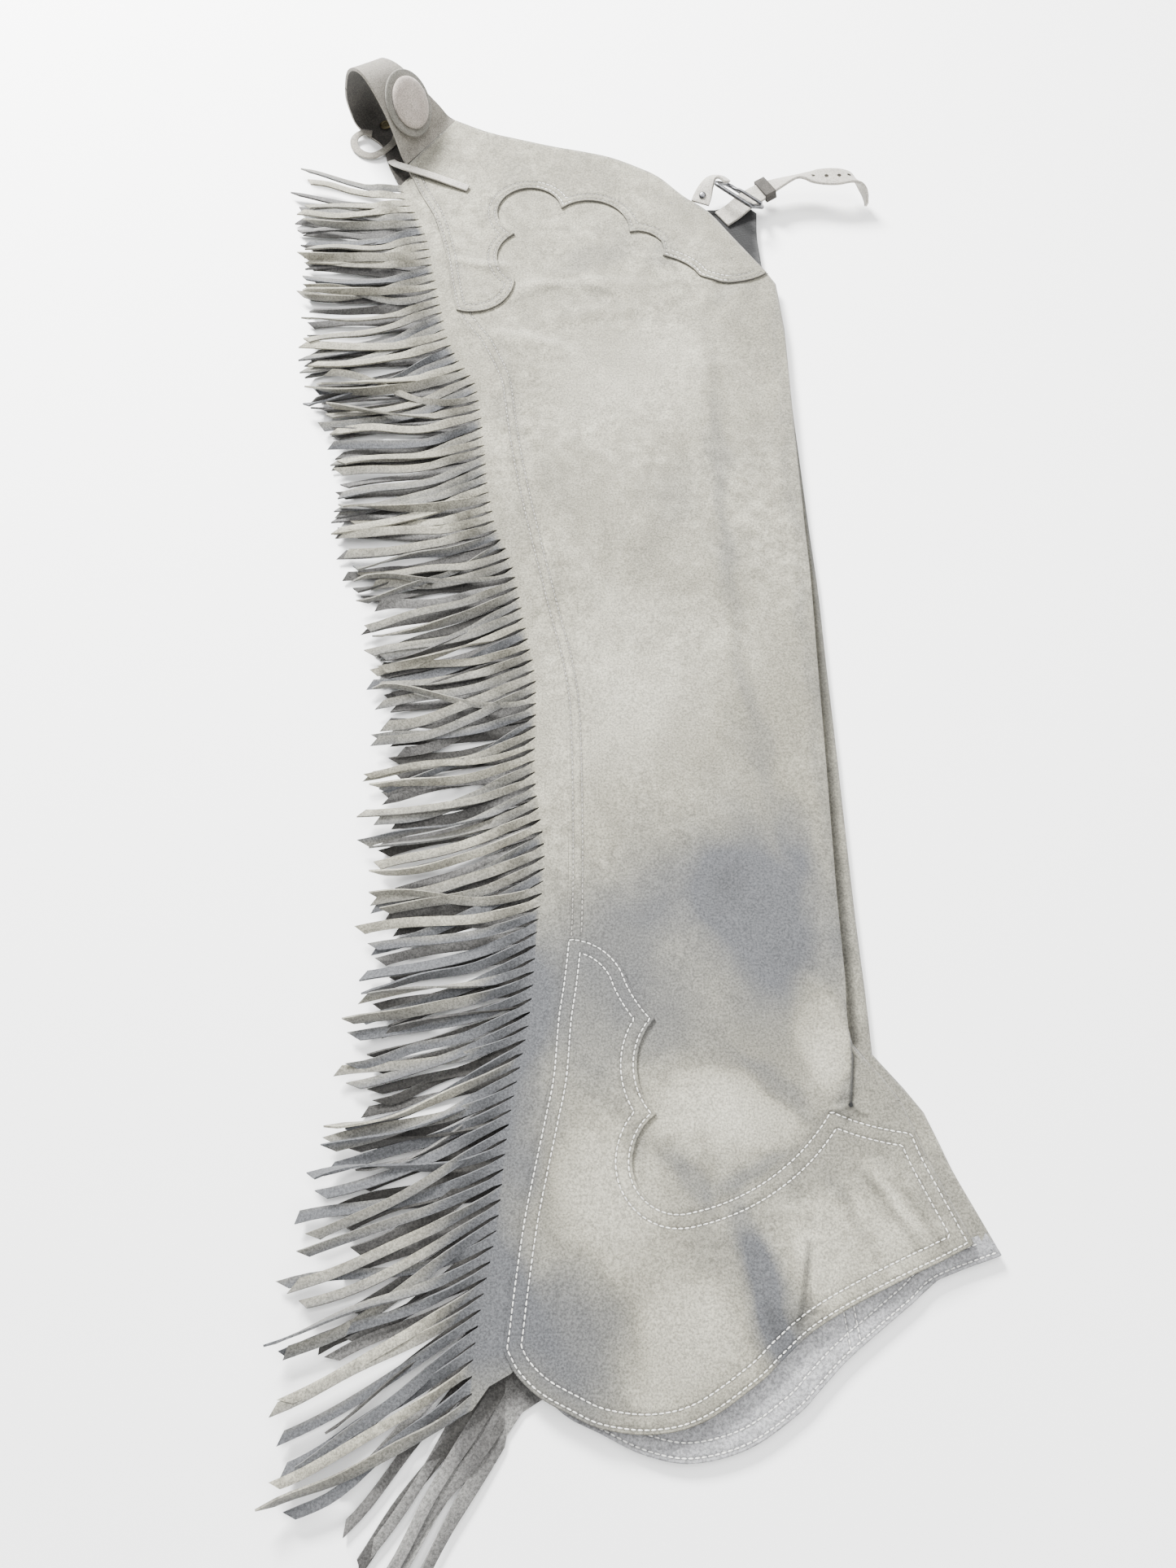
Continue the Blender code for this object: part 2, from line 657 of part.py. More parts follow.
def make_concho(finish, washer_finish, collection):
    """A domed button on its washer, seated where the belt's skin first meets the washer."""
    centre = belt_place(CONCHO_STATION, CONCHO_ACROSS)
    normal = belt_normal(CONCHO_STATION, CONCHO_ACROSS)
    rise = 0.0
    for station in range(1, 12):
        for column in range(7):
            spot = belt_place(station * 0.6, column / 6) - centre
            height = spot.dot(normal)
            if (spot - normal * height).length < WASHER_RADIUS + 1:
                rise = max(rise, height)
    base = centre + normal * (rise + SEAT_GAP)
    edge = WASHER_RADIUS
    washer = [(edge - 0.5, 0), (edge, 0.6), (edge, WASHER_THICK - 0.6), (edge - 0.5, WASHER_THICK)]
    turned("concho_washer", washer, 32, base, normal, washer_finish, collection)
    top = base + normal * (WASHER_THICK + SEAM_GAP)
    button = [(CONCHO_RADIUS - 1.2, 0), (CONCHO_RADIUS, 1.3), (CONCHO_RADIUS - 0.7, 2.5)]
    button += [(CONCHO_RADIUS * 0.8, CONCHO_HEIGHT - 0.8), (CONCHO_RADIUS * 0.4, CONCHO_HEIGHT)]
    turned("concho", button, 32, top, normal, finish, collection)


def make_eyelet(finish, collection):
    """A brass eyelet on the inner side of the lower belt run."""
    centre = belt_place(EYELET_STATION, EYELET_ACROSS)
    highest = centre.z
    for station in range(60, 75):
        spot = belt_place(station * 0.25, EYELET_ACROSS)
        if math.hypot(spot.x - centre.x, spot.y - centre.y) < EYELET_RADIUS + 1:
            highest = max(highest, spot.z)
    base = Vector((centre.x, centre.y, highest + BELT_THICK + SEAM_GAP))
    bpy.ops.mesh.primitive_torus_add(
        major_segments=20,
        minor_segments=6,
        major_radius=(EYELET_RADIUS + EYELET_HOLE) / 2 * MM,
        minor_radius=(EYELET_RADIUS - EYELET_HOLE) / 2 * MM,
    )
    item = bpy.context.object
    item.name = "belt_eyelet"
    item.scale.z = EYELET_HEIGHT / (EYELET_RADIUS - EYELET_HOLE)
    item.location = (base + Vector((0, 0, EYELET_HEIGHT / 2))) * MM
    item.data.materials.append(finish)
    item.data.shade_smooth()
    for home in list(item.users_collection):
        home.objects.unlink(item)
    collection.objects.link(item)


def ribbon_rows(turns, samples):
    """Places, headings and width directions along a ribbon's smooth route."""
    rows = []
    last = len(turns) - 1
    for k in range(last * samples + 1):
        first = min(k // samples, last - 1)
        t = k / samples - first
        keys = [turns[min(max(first + shift, 0), last)] for shift in (-1, 0, 1, 2)]
        values = []
        slopes = []
        for column in zip(*keys):
            values.append(between(*column, t))
            slopes.append(slope_between(*column, t))
        place = Vector(values[:3])
        heading = Vector(slopes[:3]).normalized()
        level = heading.cross(Vector((0, 0, 1))).normalized()
        bank = math.radians(values[4])
        across = level * math.cos(bank) + level.cross(heading) * math.sin(bank)
        rows.append((place, across * values[3] / 2))
    return rows


def make_ribbon(name, turns, thickness, samples, finish, collection):
    """A flat strap or lace along its route."""
    skin = []
    walls = []
    for number, (place, half) in enumerate(ribbon_rows(turns, samples)):
        skin += [tuple(place - half), tuple(place + half)]
        if number:
            k = 2 * number
            walls.append((k - 1, k + 1, k, k - 2))
    mesh_object(name, skin, walls, finish, thickness, collection, offset=0.0)


def tube(name, points, radius, closed, finish, collection):
    """A round wire through the given points."""
    curve = bpy.data.curves.new(name, "CURVE")
    curve.dimensions = "3D"
    curve.bevel_depth = radius * MM
    curve.bevel_resolution = 2
    curve.use_fill_caps = True
    spline = curve.splines.new("POLY")
    spline.points.add(len(points) - 1)
    for target, spot in zip(spline.points, points):
        target.co = (*(Vector(spot) * MM), 1.0)
    spline.use_cyclic_u = closed
    curve.materials.append(finish)
    collection.objects.link(bpy.data.objects.new(name, curve))


def make_buckle(finish, collection):
    """The frame is a rounded rectangle of wire, and the tongue lies from its front end to its back end."""
    half_length = BUCKLE_LENGTH / 2
    half_width = BUCKLE_WIDTH / 2
    frame = []
    for sx, sy, start in ((1, 1, 0), (-1, 1, 90), (-1, -1, 180), (1, -1, 270)):
        for step in range(4):
            angle = math.radians(start + 30 * step)
            along = sx * (half_length - BUCKLE_CORNER) + BUCKLE_CORNER * math.cos(angle)
            aside = sy * (half_width - BUCKLE_CORNER) + BUCKLE_CORNER * math.sin(angle)
            frame.append(BUCKLE_CENTRE + BELT_HEADING * along + BELT_ACROSS * aside)
    tube("buckle_frame", frame, BUCKLE_WIRE, True, finish, collection)
    normal = BELT_HEADING.cross(BELT_ACROSS).normalized()
    if normal.z < 0:
        normal = -normal
    lift = BUCKLE_WIRE * 2 + SEAM_GAP
    tongue = []
    for along, rise in ((-8, 0.0), (-2, 0.8), (6, 2.0), (half_length + 2.0, 1.0)):
        tongue.append(BUCKLE_CENTRE + BELT_HEADING * along + normal * lift * min(1.0, 0.55 + rise / 2.2))
    tube("buckle_tongue", tongue, BUCKLE_WIRE * 0.8, False, finish, collection)


def make_keeper(finish, collection):
    """A leather loop round the front strap."""
    samples = 4
    rows = ribbon_rows(FRONT_STRAP, samples)
    place, half = rows[round(KEEPER_PLACE * samples)]
    heading = (rows[round(KEEPER_PLACE * samples) + 1][0] - place).normalized()
    across = half.normalized()
    normal = heading.cross(across).normalized()
    inner_w = half.length + KEEPER_SIDE_ROOM
    inner_h = STRAP_THICK / 2 + KEEPER_ROOM
    rings = []
    for w, h in ((inner_w, inner_h), (inner_w + KEEPER_WALL, inner_h + KEEPER_WALL)):
        rings.append([(w, -h), (w, h), (-w, h), (-w, -h)])
    shape = bmesh.new()
    grid = []
    for end in (-KEEPER_WIDTH / 2, KEEPER_WIDTH / 2):
        for ring in rings:
            spots = [place + heading * end + across * a + normal * b for a, b in ring]
            grid.append([shape.verts.new(spot * MM) for spot in spots])
    inner_back, outer_back, inner_front, outer_front = grid
    walls = [(outer_back, outer_front), (inner_front, inner_back)]
    walls += [(outer_front, inner_front), (inner_back, outer_back)]
    for a, b in walls:
        for k in range(4):
            n = (k + 1) % 4
            shape.faces.new((a[k], a[n], b[n], b[k]))
    bmesh.ops.recalc_face_normals(shape, faces=shape.faces)
    mesh = bpy.data.meshes.new("front_keeper")
    shape.to_mesh(mesh)
    shape.free()
    mesh.materials.append(finish)
    collection.objects.link(bpy.data.objects.new("front_keeper", mesh))


def make_rivet(finish, collection):
    """The small rivet on the front tab."""
    rows = ribbon_rows(FRONT_TAB, 4)
    place, half = rows[4]
    heading = (rows[5][0] - rows[3][0]).normalized()
    normal = half.cross(heading).normalized()
    if normal.z < 0:
        normal = -normal
    base = place + normal * (STRAP_THICK / 2 + SEAT_GAP)
    profile = [(RIVET_RADIUS * 0.93, 0), (RIVET_RADIUS, RIVET_HEIGHT * 0.4), (RIVET_RADIUS * 0.57, RIVET_HEIGHT)]
    turned("tab_rivet", profile, 16, base, normal, finish, collection)


def centre_on_floor(items):
    """Move everything so that the pair's box stands centred on the origin."""
    bpy.context.view_layer.update()
    spots = []
    shown = bpy.context.evaluated_depsgraph_get()
    for item in items:
        solid = item.evaluated_get(shown)
        spots += [solid.matrix_world @ vertex.co for vertex in solid.to_mesh().vertices]
        solid.to_mesh_clear()
    middle_x = (min(spot.x for spot in spots) + max(spot.x for spot in spots)) / 2
    middle_y = (min(spot.y for spot in spots) + max(spot.y for spot in spots)) / 2
    for item in items:
        item.location.x -= middle_x
        item.location.y -= middle_y


def main():
    for item in list(bpy.data.objects):
        bpy.data.objects.remove(item)
    collection = bpy.data.collections.new("leather_chaps")
    bpy.context.scene.collection.children.link(collection)

    suede = material("grey_suede", (0.56, 0.55, 0.53), 0.9)
    flesh = material("grey_suede_flesh_side", (0.50, 0.51, 0.53), 0.95)
    belt_leather = material("grey_belt_suede", (0.55, 0.54, 0.51), 0.85)
    brass = material("brass", (0.55, 0.42, 0.18), 0.35, 1.0)
    nickel = material("nickel_plated_steel", (0.70, 0.70, 0.70), 0.25, 1.0)

    fold = inset(smooth(FRONT_FOLD, EDGE_STEP * 1.4), FOLD_INSET)
    seam = smooth(BACK_SEAM, EDGE_STEP)
    corner = smooth(BACK_CORNER, EDGE_STEP)
    right = Leg(smooth(HEM, EDGE_STEP), fold, smooth(WAIST, EDGE_STEP), corner, seam)
    left = Leg(
        smooth(UNDER_HEM, EDGE_STEP),
        inset(smooth(under(FRONT_FOLD), EDGE_STEP * 1.4), FOLD_INSET),
        smooth(UNDER_WAIST + under(WAIST[5:]), EDGE_STEP),
        under(corner),
        under(seam),
    )
    yoke_line = scallops(YOKE_EDGE, SCALLOP_STEP)
    trim_line = scallops(TRIM_EDGE, SCALLOP_STEP)
    under_yoke_line = under(yoke_line)
    under_trim_line = under(trim_line)

    lines = [yoke_line, trim_line]
    worked, faces = make_leg(
        "right_leg", right, lines, CREASES, upper_crown, UPPER_LEG_BASE, True, suede, collection
    )
    for name, line in (("right_yoke", yoke_line), ("right_trim", trim_line)):
        ends = (line[-1], line[0]) if name == "right_yoke" else (line[0], line[-1])
        loop = overlay_loop(right, *ends, line)
        make_overlay(name, worked, faces, loop, upper_crown, True, suede, collection)

    under_loops = {
        "left_yoke": overlay_loop(left, under_yoke_line[-1], under_yoke_line[0], under_yoke_line),
        "left_trim": overlay_loop(left, under_trim_line[0], under_trim_line[-1], under_trim_line),
    }
    raised = {(round(p.x, 3), round(p.y, 3)) for loop in under_loops.values() for p in loop}

    def under_height(x, y):
        on_edge = (round(x, 3), round(y, 3)) in raised
        lifted = on_edge or any(is_inside(x, y, loop) for loop in under_loops.values())
        return OVERLAY_RISE if lifted else 0.0

    lines = [under_yoke_line, under_trim_line]
    worked, faces = make_leg(
        "left_leg", left, lines, [], under_height, UNDER_LEG_TOP, False, suede, collection
    )
    for name, loop in under_loops.items():
        make_overlay(name, worked, faces, loop, under_height, False, suede, collection)

    roots = smooth(ROOT_LINE, STRAND_PITCH) + [ROOT_LINE[-1]]
    clear_seam = inset([*seam, BACK_SEAM[-1]], -SEAT_GAP)
    kept_seam = [p for p in clear_seam if p.y < STRIP_TOP[0].y]
    strip = Strip(kept_seam, roots, STRIP_TOP, STRIP_END)
    under_strip = Strip(*(under(line) for line in strip))
    make_fringe("right_fringe", strip, STRAND_HANG, UPPER_STRANDS, UPPER_LEG_EDGE, suede, collection, 1)
    under_z = UNDER_STRANDS[0].root
    make_fringe("left_fringe", under_strip, UNDER_HANG, UNDER_STRANDS, under_z, flesh, collection, 5)

    make_belt(belt_leather, collection)
    make_concho(belt_leather, suede, collection)
    make_eyelet(brass, collection)
    make_ribbon("lace_loop", LACE_LOOP, LACE_THICK, 4, belt_leather, collection)
    make_ribbon("lace_tail", LACE_TAIL, LACE_THICK, 3, belt_leather, collection)
    make_ribbon("front_tab", FRONT_TAB, STRAP_THICK, 4, belt_leather, collection)
    make_ribbon("front_strap", FRONT_STRAP, STRAP_THICK, 4, belt_leather, collection)
    make_buckle(nickel, collection)
    make_keeper(belt_leather, collection)
    make_rivet(nickel, collection)
    centre_on_floor(list(collection.objects))


main()
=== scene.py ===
"""Looks of a pair of suede show chaps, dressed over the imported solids.

Tables are in millimetres in the layout that the solids were drawn in: +Y to the waist, -X to the fringe and
Z up from the floor. place() turns a place of the layout into the frame's metres.
"""

import math
import random
from collections import namedtuple

import bmesh
import bpy
import numpy as np
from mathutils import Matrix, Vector
from mathutils.bvhtree import BVHTree
from mathutils.geometry import delaunay_2d_cdt
from mathutils.kdtree import KDTree


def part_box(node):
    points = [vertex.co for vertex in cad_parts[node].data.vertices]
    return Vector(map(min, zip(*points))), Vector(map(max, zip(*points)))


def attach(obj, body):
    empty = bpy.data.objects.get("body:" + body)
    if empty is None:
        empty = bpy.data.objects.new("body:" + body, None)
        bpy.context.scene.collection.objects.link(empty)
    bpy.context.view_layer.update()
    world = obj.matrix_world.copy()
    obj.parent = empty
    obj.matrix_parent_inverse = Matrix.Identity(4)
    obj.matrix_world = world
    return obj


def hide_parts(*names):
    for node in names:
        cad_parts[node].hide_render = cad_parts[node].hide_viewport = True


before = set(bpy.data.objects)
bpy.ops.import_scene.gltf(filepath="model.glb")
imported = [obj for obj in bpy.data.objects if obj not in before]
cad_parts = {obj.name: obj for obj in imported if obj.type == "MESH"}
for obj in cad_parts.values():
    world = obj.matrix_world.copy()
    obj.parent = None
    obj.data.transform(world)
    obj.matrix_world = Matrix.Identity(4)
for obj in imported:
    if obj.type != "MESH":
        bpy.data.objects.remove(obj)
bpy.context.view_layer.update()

MM = 0.001
WELD = 1e-6
BODY = "root"

# The buckle's middle in the layout ties the layout to the frame
BUCKLE_CENTRE = Vector((122.0, 797.0, 16.5))
low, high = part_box("buckle_frame")
SHIFT = (low + high) / 2 / MM - BUCKLE_CENTRE
SHIFT.z = 0.0

# The camera hangs over the middle of the leg and looks up towards the waist
CAMERA_HEIGHT = 720.0
CAMERA_TILT = math.radians(22)
FOCAL_PIXELS = 1447.6
PHOTO_HEIGHT = 1927
SENSOR = 36.0

# Leather
SUEDE_THICK = 1.5
FRINGE_THICK = 1.3
BELT_THICK = 2.2
LACE_THICK = 1.4
LACE_WIDTH = 6.2
STRAP_THICK = 2.2
STRAP_WIDTH = 17.0
UPPER_LEG_EDGE = 9.8

# Sewing: a stitch every 3.6 mm, sunk into a pressed line
STITCH_PITCH = 3.6
STITCH_LENGTH = 2.7
THREAD_WIDTH = 0.85
ROW_DEPTH = 0.5
ROW_HALF_WIDTH = 1.4
# How dark the stitch rows are painted (their pressed nap, with painted shade in the groove), the painted
# shade along the overlays' edges, and the near black of painted shade
PRESSED_SHADE = 0.42
EDGE_SHADE = 0.3
PAINTED_SHADE_DARK = "#060606"

# Lengths of the meshes' edges, and how an outline is rounded between its corners
FINE = 1.35
CREASE_STEP = FINE * 1.3
NEAR_CREASE = 3.0
SKIN_STEP = 5.5
INSIDE_STEP = 9.0
UNDERSIDE_STEP = 12.0
HIDDEN_STEP = 26.0
REFINE_ROUNDS = 8
SETTLE_ROUNDS = 14
CORNER = math.radians(38)
OUTLINE_REACH = 16.0

# The worked skins lie beyond these heights, and the under fringe's strip starts at the last
UPPER_LEG_SKIN = 9.2
OVERLAY_SKIN = 10.9
UNDER_LEG_SKIN = 4.6
UNDERSIDE_SKIN = 0.7
UNDER_LEG_EDGE = 2.0
# Below this line the under leg shows its flesh side
HEM_INSIDE = 12.0

Fold = namedtuple("Fold", "height left right line")
Dent = namedtuple("Dent", "x y long wide turn depth")
Shade = namedtuple("Shade", "x y long wide turn amount")
Crease = namedtuple("Crease", "amount width line")
Station = namedtuple("Station", "near_run near_across near_z far_run far_across far_z")
Turn = namedtuple("Turn", "x y z width bank", defaults=(LACE_WIDTH, 0))
Hang = namedtuple("Hang", "y root_drop tip_drop length")
Stray = namedtuple("Stray", "y pull width")
Row = namedtuple("Row", "distance thread keep")

# Soft ridges of the upper leg: height, how wide they slope to the photo's left (or down) and right (or up),
# and the crest's line, drawn downward or to the right
FOLDS = [
    Fold(3.4, 26, 2.4, [(156, 128), (155.4, 112), (153.6, 96), (152.2, 84)]),
    Fold(1.6, 7, 5, [(144, 79), (150, 82), (158, 85)]),
    Fold(3.0, 24, 6, [(121, 8), (118.5, -6), (116, -20), (113, -33)]),
    Fold(1.8, 16, 10, [(80, 30), (92, 8), (101, -14), (106, -40)]),
    Fold(1.7, 9, 9, [(157.9, 51), (172, 31), (190, 8)]),
    Fold(1.5, 7, 9, [(178, 44), (189, 26), (203, 7)]),
    Fold(1.9, 15, 13, [(-56, 701), (-34, 712), (-17.6, 716), (2, 713), (19, 707)]),
    Fold(1.3, 12, 10, [(-106, 735), (-84, 731), (-62, 728.5)]),
    Fold(1.5, 16, 14, [(-76, 664), (-44, 655), (-12, 645)]),
    Fold(1.3, 12, 12, [(-14, 727), (-6, 742), (2, 758), (12, 777)]),
    Fold(1.2, 11, 10, [(48, 726), (57, 742), (60, 758)]),
    Fold(1.6, 14, 12, [(102, 668), (113, 688), (123, 712)]),
    Fold(1.5, 20, 18, [(88, 640), (112, 612), (128, 575)]),
    Fold(2.0, 26, 9, [(88, 650), (89, 576), (91, 516), (95, 449), (100, 366), (106, 320)]),
    Fold(2.4, 34, 26, [(78, 282), (98, 246), (120, 206), (141, 164)]),
    Fold(1.3, 12, 5, [(40, 330), (47, 316), (58, 295), (65, 279)]),
    Fold(1.3, 30, 30, [(20, 500), (34, 440), (30, 380)]),
    Fold(1.2, 26, 26, [(8, 330), (30, 270), (60, 236)]),
    Fold(1.4, 9, 5, [(-63, 640), (-60, 610), (-56, 578)]),
    Fold(1.4, 10, 5, [(-36, 420), (-28, 392), (-22, 366)]),
    Fold(1.2, 10, 6, [(-18, 404), (-12, 380), (-8, 352)]),
    Fold(1.1, 12, 12, [(-40, 672), (0, 678), (48, 690)]),
    Fold(1.2, 12, 8, [(100, 720), (92, 700), (90, 676)]),
]

# Hollows of the upper leg, pressed in between its ridges
DENTS = [
    Dent(-24, 742, 26, 12, 20, 0.9),
    Dent(30, 742, 22, 13, 60, 0.8),
    Dent(24, 690, 46, 12, -12, 0.9),
    Dent(128, 268, 60, 20, 105, 1.0),
    Dent(98, 200, 40, 16, 120, 0.9),
    Dent(98, -20, 30, 9, 105, 1.3),
    Dent(166, 22, 26, 7, -48, 1.1),
    Dent(64, 600, 60, 26, 80, 0.6),
]

# Painted shade and light on the legs: ovals painted darker above 0 where shade falls, and paler below it
# where light falls
SHADES = [
    Shade(111, 200, 68, 38, 107, 0.95), Shade(133, 252, 28, 10, 95, 0.45), Shade(14, 156, 72, 62, 14, 0.60),
    Shade(60, 222, 44, 28, 20, 0.45), Shade(-52, 60, 120, 26, 84, 0.75), Shade(-6, -40, 46, 28, 100, 0.75),
    Shade(-50, -40, 40, 24, 90, 0.55), Shade(97, -10, 40, 9, 107, 0.85), Shade(106, -38, 17, 13, 105, 0.55),
    Shade(58, 41, 18, 6, -51, 0.45), Shade(92, 46, 30, 6, 27, 0.45), Shade(30, 52, 18, 8, 90, 0.28),
    Shade(109, 96, 28, 6, -40, 0.45), Shade(150, 92, 14, 7, 90, 0.34), Shade(150, 20, 26, 5, -62, 0.28),
    Shade(94, 570, 80, 8, 91, 0.34), Shade(100, 440, 76, 7, 94, 0.30), Shade(112, 320, 60, 7, 99, 0.26),
    Shade(150, 420, 300, 6, 91, 0.25), Shade(-58, 590, 70, 8, 100, 0.16),
    Shade(4, 736, 30, 12, 20, 0.24), Shade(64, 742, 16, 12, 60, 0.24), Shade(108, 700, 18, 8, 60, 0.22),
    Shade(60, 520, 80, 22, 70, 0.14), Shade(104, 330, 50, 16, 100, 0.16),
    Shade(72, 84, 50, 20, -12, -0.60), Shade(139, 125, 34, 13, 100, -0.55), Shade(8, 30, 34, 42, 0, -0.50),
    Shade(52, -44, 34, 32, 0, -0.50), Shade(168, 8, 28, 18, -50, -0.40), Shade(131, 4, 28, 18, 90, -0.45),
    Shade(42, 372, 60, 70, 0, -0.30), Shade(-16, 712, 42, 5, 6, -0.50), Shade(-84, 731, 24, 4, -8, -0.45),
    Shade(-44, 655, 34, 5, -15, -0.45), Shade(174, 32, 26, 3.5, -52, -0.50),
    Shade(70, 620, 60, 44, 80, -0.25), Shade(10, 610, 60, 44, 80, -0.25), Shade(0, 330, 40, 60, 0, -0.25),
]
# Sharp creases, with painted shade along their foot: how dark, how wide, and the line
CREASES = [
    Crease(0.75, 2.6, [(157.6, 130), (157.0, 112), (155.2, 96), (153.6, 84)]),
    Crease(0.45, 2.2, [(153.6, 84), (147, 80), (141, 80)]),
    Crease(0.40, 2.4, [(153.6, 84), (158, 79), (163, 78)]),
    Crease(0.40, 4.0, [(123.4, 8), (121, -6), (118.5, -20), (115.5, -33)]),
    Crease(0.22, 4.0, [(159, 44), (172, 25), (186, 6)]),
    Crease(0.20, 3.5, [(180, 37), (190, 21), (201, 4)]),
    Crease(0.18, 4.5, [(-56, 693), (-34, 704), (-17.6, 708), (2, 705), (19, 699)]),
    Crease(0.16, 4.0, [(-106, 729), (-84, 725), (-62, 722.5)]),
]
# The inside of the left leg has painted shadow, darkest under the front opening, and painted shade all along
# beside the upper leg's fold; a pale oval on the hem's inside is painted light
INSIDE_SHADES = [Shade(128, 770, 70, 40, 110, 2.6), Shade(110, -60, 60, 22, 38, -0.25)]
INSIDE_CREASES = [
    Crease(0.75, 5.5, [
        (154.6, 718), (155.0, 673), (155.8, 610), (156.7, 550), (158, 493), (159, 452), (159, 387),
        (159.4, 326), (159, 268), (159.2, 213), (160, 161), (160, 122),
    ]),
]
# Painted shade beyond 1 also mixes in the near black of painted shadow, up to this share
DARKEST_SHADE = 1.0
DARKEST_SHARE = 0.97

# Where the strands are cut from the fringe's strip, from the waist down, and the strip's two ends: x and y
ROOT_LINE = [
    (-151, 817), (-149, 801.8), (-139.6, 785.8), (-128.9, 757.9), (-122.1, 723.9),
    (-113.5, 682.6), (-108.2, 658.5), (-98, 634.8), (-86.2, 616), (-80.3, 588.9),
    (-76, 552), (-71.9, 516), (-64.5, 481.5), (-53.5, 454.5), (-41.4, 396),
    (-35, 360), (-34.5, 294), (-27.5, 238), (-31.4, 190), (-35.4, 135),
    (-46.1, 73.8), (-51, 20.6), (-58.5, -21.4), (-62.6, -53.7), (-61.9, -75.1),
]
STRIP_TOP = [(-145.5, 823)]
STRIP_END = [(-53.5, -63.5), (-41.5, -57.0)]

# The under leg is turned and shifted a little from the upper one
UNDER_PIVOT = (150.0, 620.0)
UNDER_TURN = math.radians(1.5)
UNDER_SHIFT = -8.0

# How the strands hang along the leg: degrees below level at the root and at the tip, and length
UPPER_HANG = [
    Hang(830, 4, -8, 84), Hang(790, 14, -6, 90), Hang(750, 26, -3, 100), Hang(700, 34, -1, 108),
    Hang(660, 37, 0, 114), Hang(600, 38, -2, 122), Hang(550, 34, 4, 114), Hang(490, 34, 6, 106),
    Hang(400, 34, 8, 110), Hang(290, 35, 8, 114), Hang(200, 33, 10, 112), Hang(84, 31, 14, 118),
    Hang(16, 32, 19, 130), Hang(-40, 34, 24, 122), Hang(-80, 39, 28, 114),
]
UNDER_HANG = [
    Hang(830, 4, -8, 84), Hang(700, 18, 0, 96), Hang(590, 26, 2, 116), Hang(400, 28, 8, 106),
    Hang(200, 28, 12, 110), Hang(60, 30, 20, 116), Hang(0, 36, 32, 122), Hang(-40, 48, 46, 132),
    Hang(-90, 60, 62, 126),
]
STRAND_PITCH = 8.3
STRAND_WIDTH = 6.3
STRAND_SECTIONS = 16
CLUMP_SEED = 11

# The belt's run round its upright loop, from the yoke to its lower end
BELT_LOOP = [
    Station(0.3, 0, 11.7, 8.6, 63, 11.7), Station(4, 0, 19, 14, 60, 15), Station(9, 0, 34, 18.7, 56.5, 23),
    Station(14, 0, 45, 23, 52, 31.5), Station(20, 0, 54.5, 27.5, 47.5, 40), Station(27, 0, 63, 33, 43.5, 48),
    Station(35, 0, 70, 40, 40, 55), Station(43, 0, 72.5, 47, 37, 58.5), Station(51, 0, 70.5, 54, 35, 58.5),
    Station(58, 0, 65, 61, 35, 55), Station(64, 0.5, 56, 66, 36, 48), Station(69, 1, 44, 70, 37.5, 38.5),
    Station(73, 2, 31, 73, 39, 28), Station(74, 4, 17, 74, 41, 16), Station(71.5, 5, 7, 72, 43, 7),
    Station(65, 6.5, 1.2, 66, 44.5, 1.2), Station(55, 7.5, 0, 56, 46, 0), Station(40, 7, 0, 42, 47.5, 0),
    Station(20, -4, 0, 22, 50, 0), Station(-7.1, -15.2, 0, 3.2, 47.6, 0),
]
BELT_SAMPLES = 5
BELT_COLUMNS = 10
LOOP_CORNER = Vector((-149.0, 836.0, 0.0))
LOOP_RUN = Vector((-0.717, 0.697, 0.0)).normalized()
LOOP_ACROSS = Vector((0.697, 0.717, 0.0)).normalized()

# Middle lines of the laces and straps, from their exits to their ends. Bank tilts them to the photo's right
LACE_LOOP = [
    Turn(-160.5, 884, 3.5), Turn(-163.5, 871, 3.6), Turn(-171.6, 861, 3.6), Turn(-180, 857.5, 2.6),
    Turn(-189, 860.5, 1.6), Turn(-196, 868.5, 1.6), Turn(-196.5, 876.5, 3.0),
    Turn(-190, 881.2, 5.0, LACE_WIDTH * 0.9), Turn(-182, 881, 4.2, LACE_WIDTH * 0.9),
]
LACE_TAIL = [
    Turn(-164, 850, 3.5), Turn(-160, 842, 8.0), Turn(-152, 832.5, 13.2), Turn(-140, 826, 14.6),
    Turn(-120, 817, 14.8), Turn(-97.5, 807.5, 13.6),
]
FRONT_TAB = [
    Turn(90.8, 794.2, 10.9, 15, 0), Turn(93.0, 799.5, 13.2, 15, 8), Turn(95.8, 806, 16.8, 13, 20),
    Turn(99.8, 811.6, 19.4, 11, 30), Turn(105, 813.2, 19.9, 11, 36), Turn(109.4, 811.4, 19.7, 11, 36),
    Turn(112.8, 808.4, 18.9, 11, 36),
]
FRONT_STRAP = [
    Turn(108, 781, 7.2, STRAP_WIDTH, 0), Turn(118, 788, 8.8, STRAP_WIDTH, 0),
    Turn(128, 795.5, 12.2, STRAP_WIDTH, 0), Turn(138, 801, 14.5, STRAP_WIDTH, 2),
    Turn(150, 806.8, 17, STRAP_WIDTH, 18), Turn(166, 812.2, 20, STRAP_WIDTH, 38),
    Turn(176, 812.6, 21, STRAP_WIDTH, 28), Turn(184.5, 811, 22, STRAP_WIDTH, 8),
    Turn(198.4, 809.7, 23, STRAP_WIDTH, 0), Turn(210.5, 810.8, 22, STRAP_WIDTH * 0.96, 14),
    Turn(218.5, 808.8, 18.5, STRAP_WIDTH * 0.86, 46), Turn(223.3, 805.8, 14, STRAP_WIDTH * 0.76, 70),
    Turn(226, 801.5, 10, STRAP_WIDTH * 0.66, 80), Turn(226.8, 796.8, 7, STRAP_WIDTH * 0.5, 84),
]
STRAP_HOLES = [(181.4, 811.2), (192.1, 810.0), (202.3, 810.2), (210.6, 812.2)]
HOLE_RADIUS = 1.5

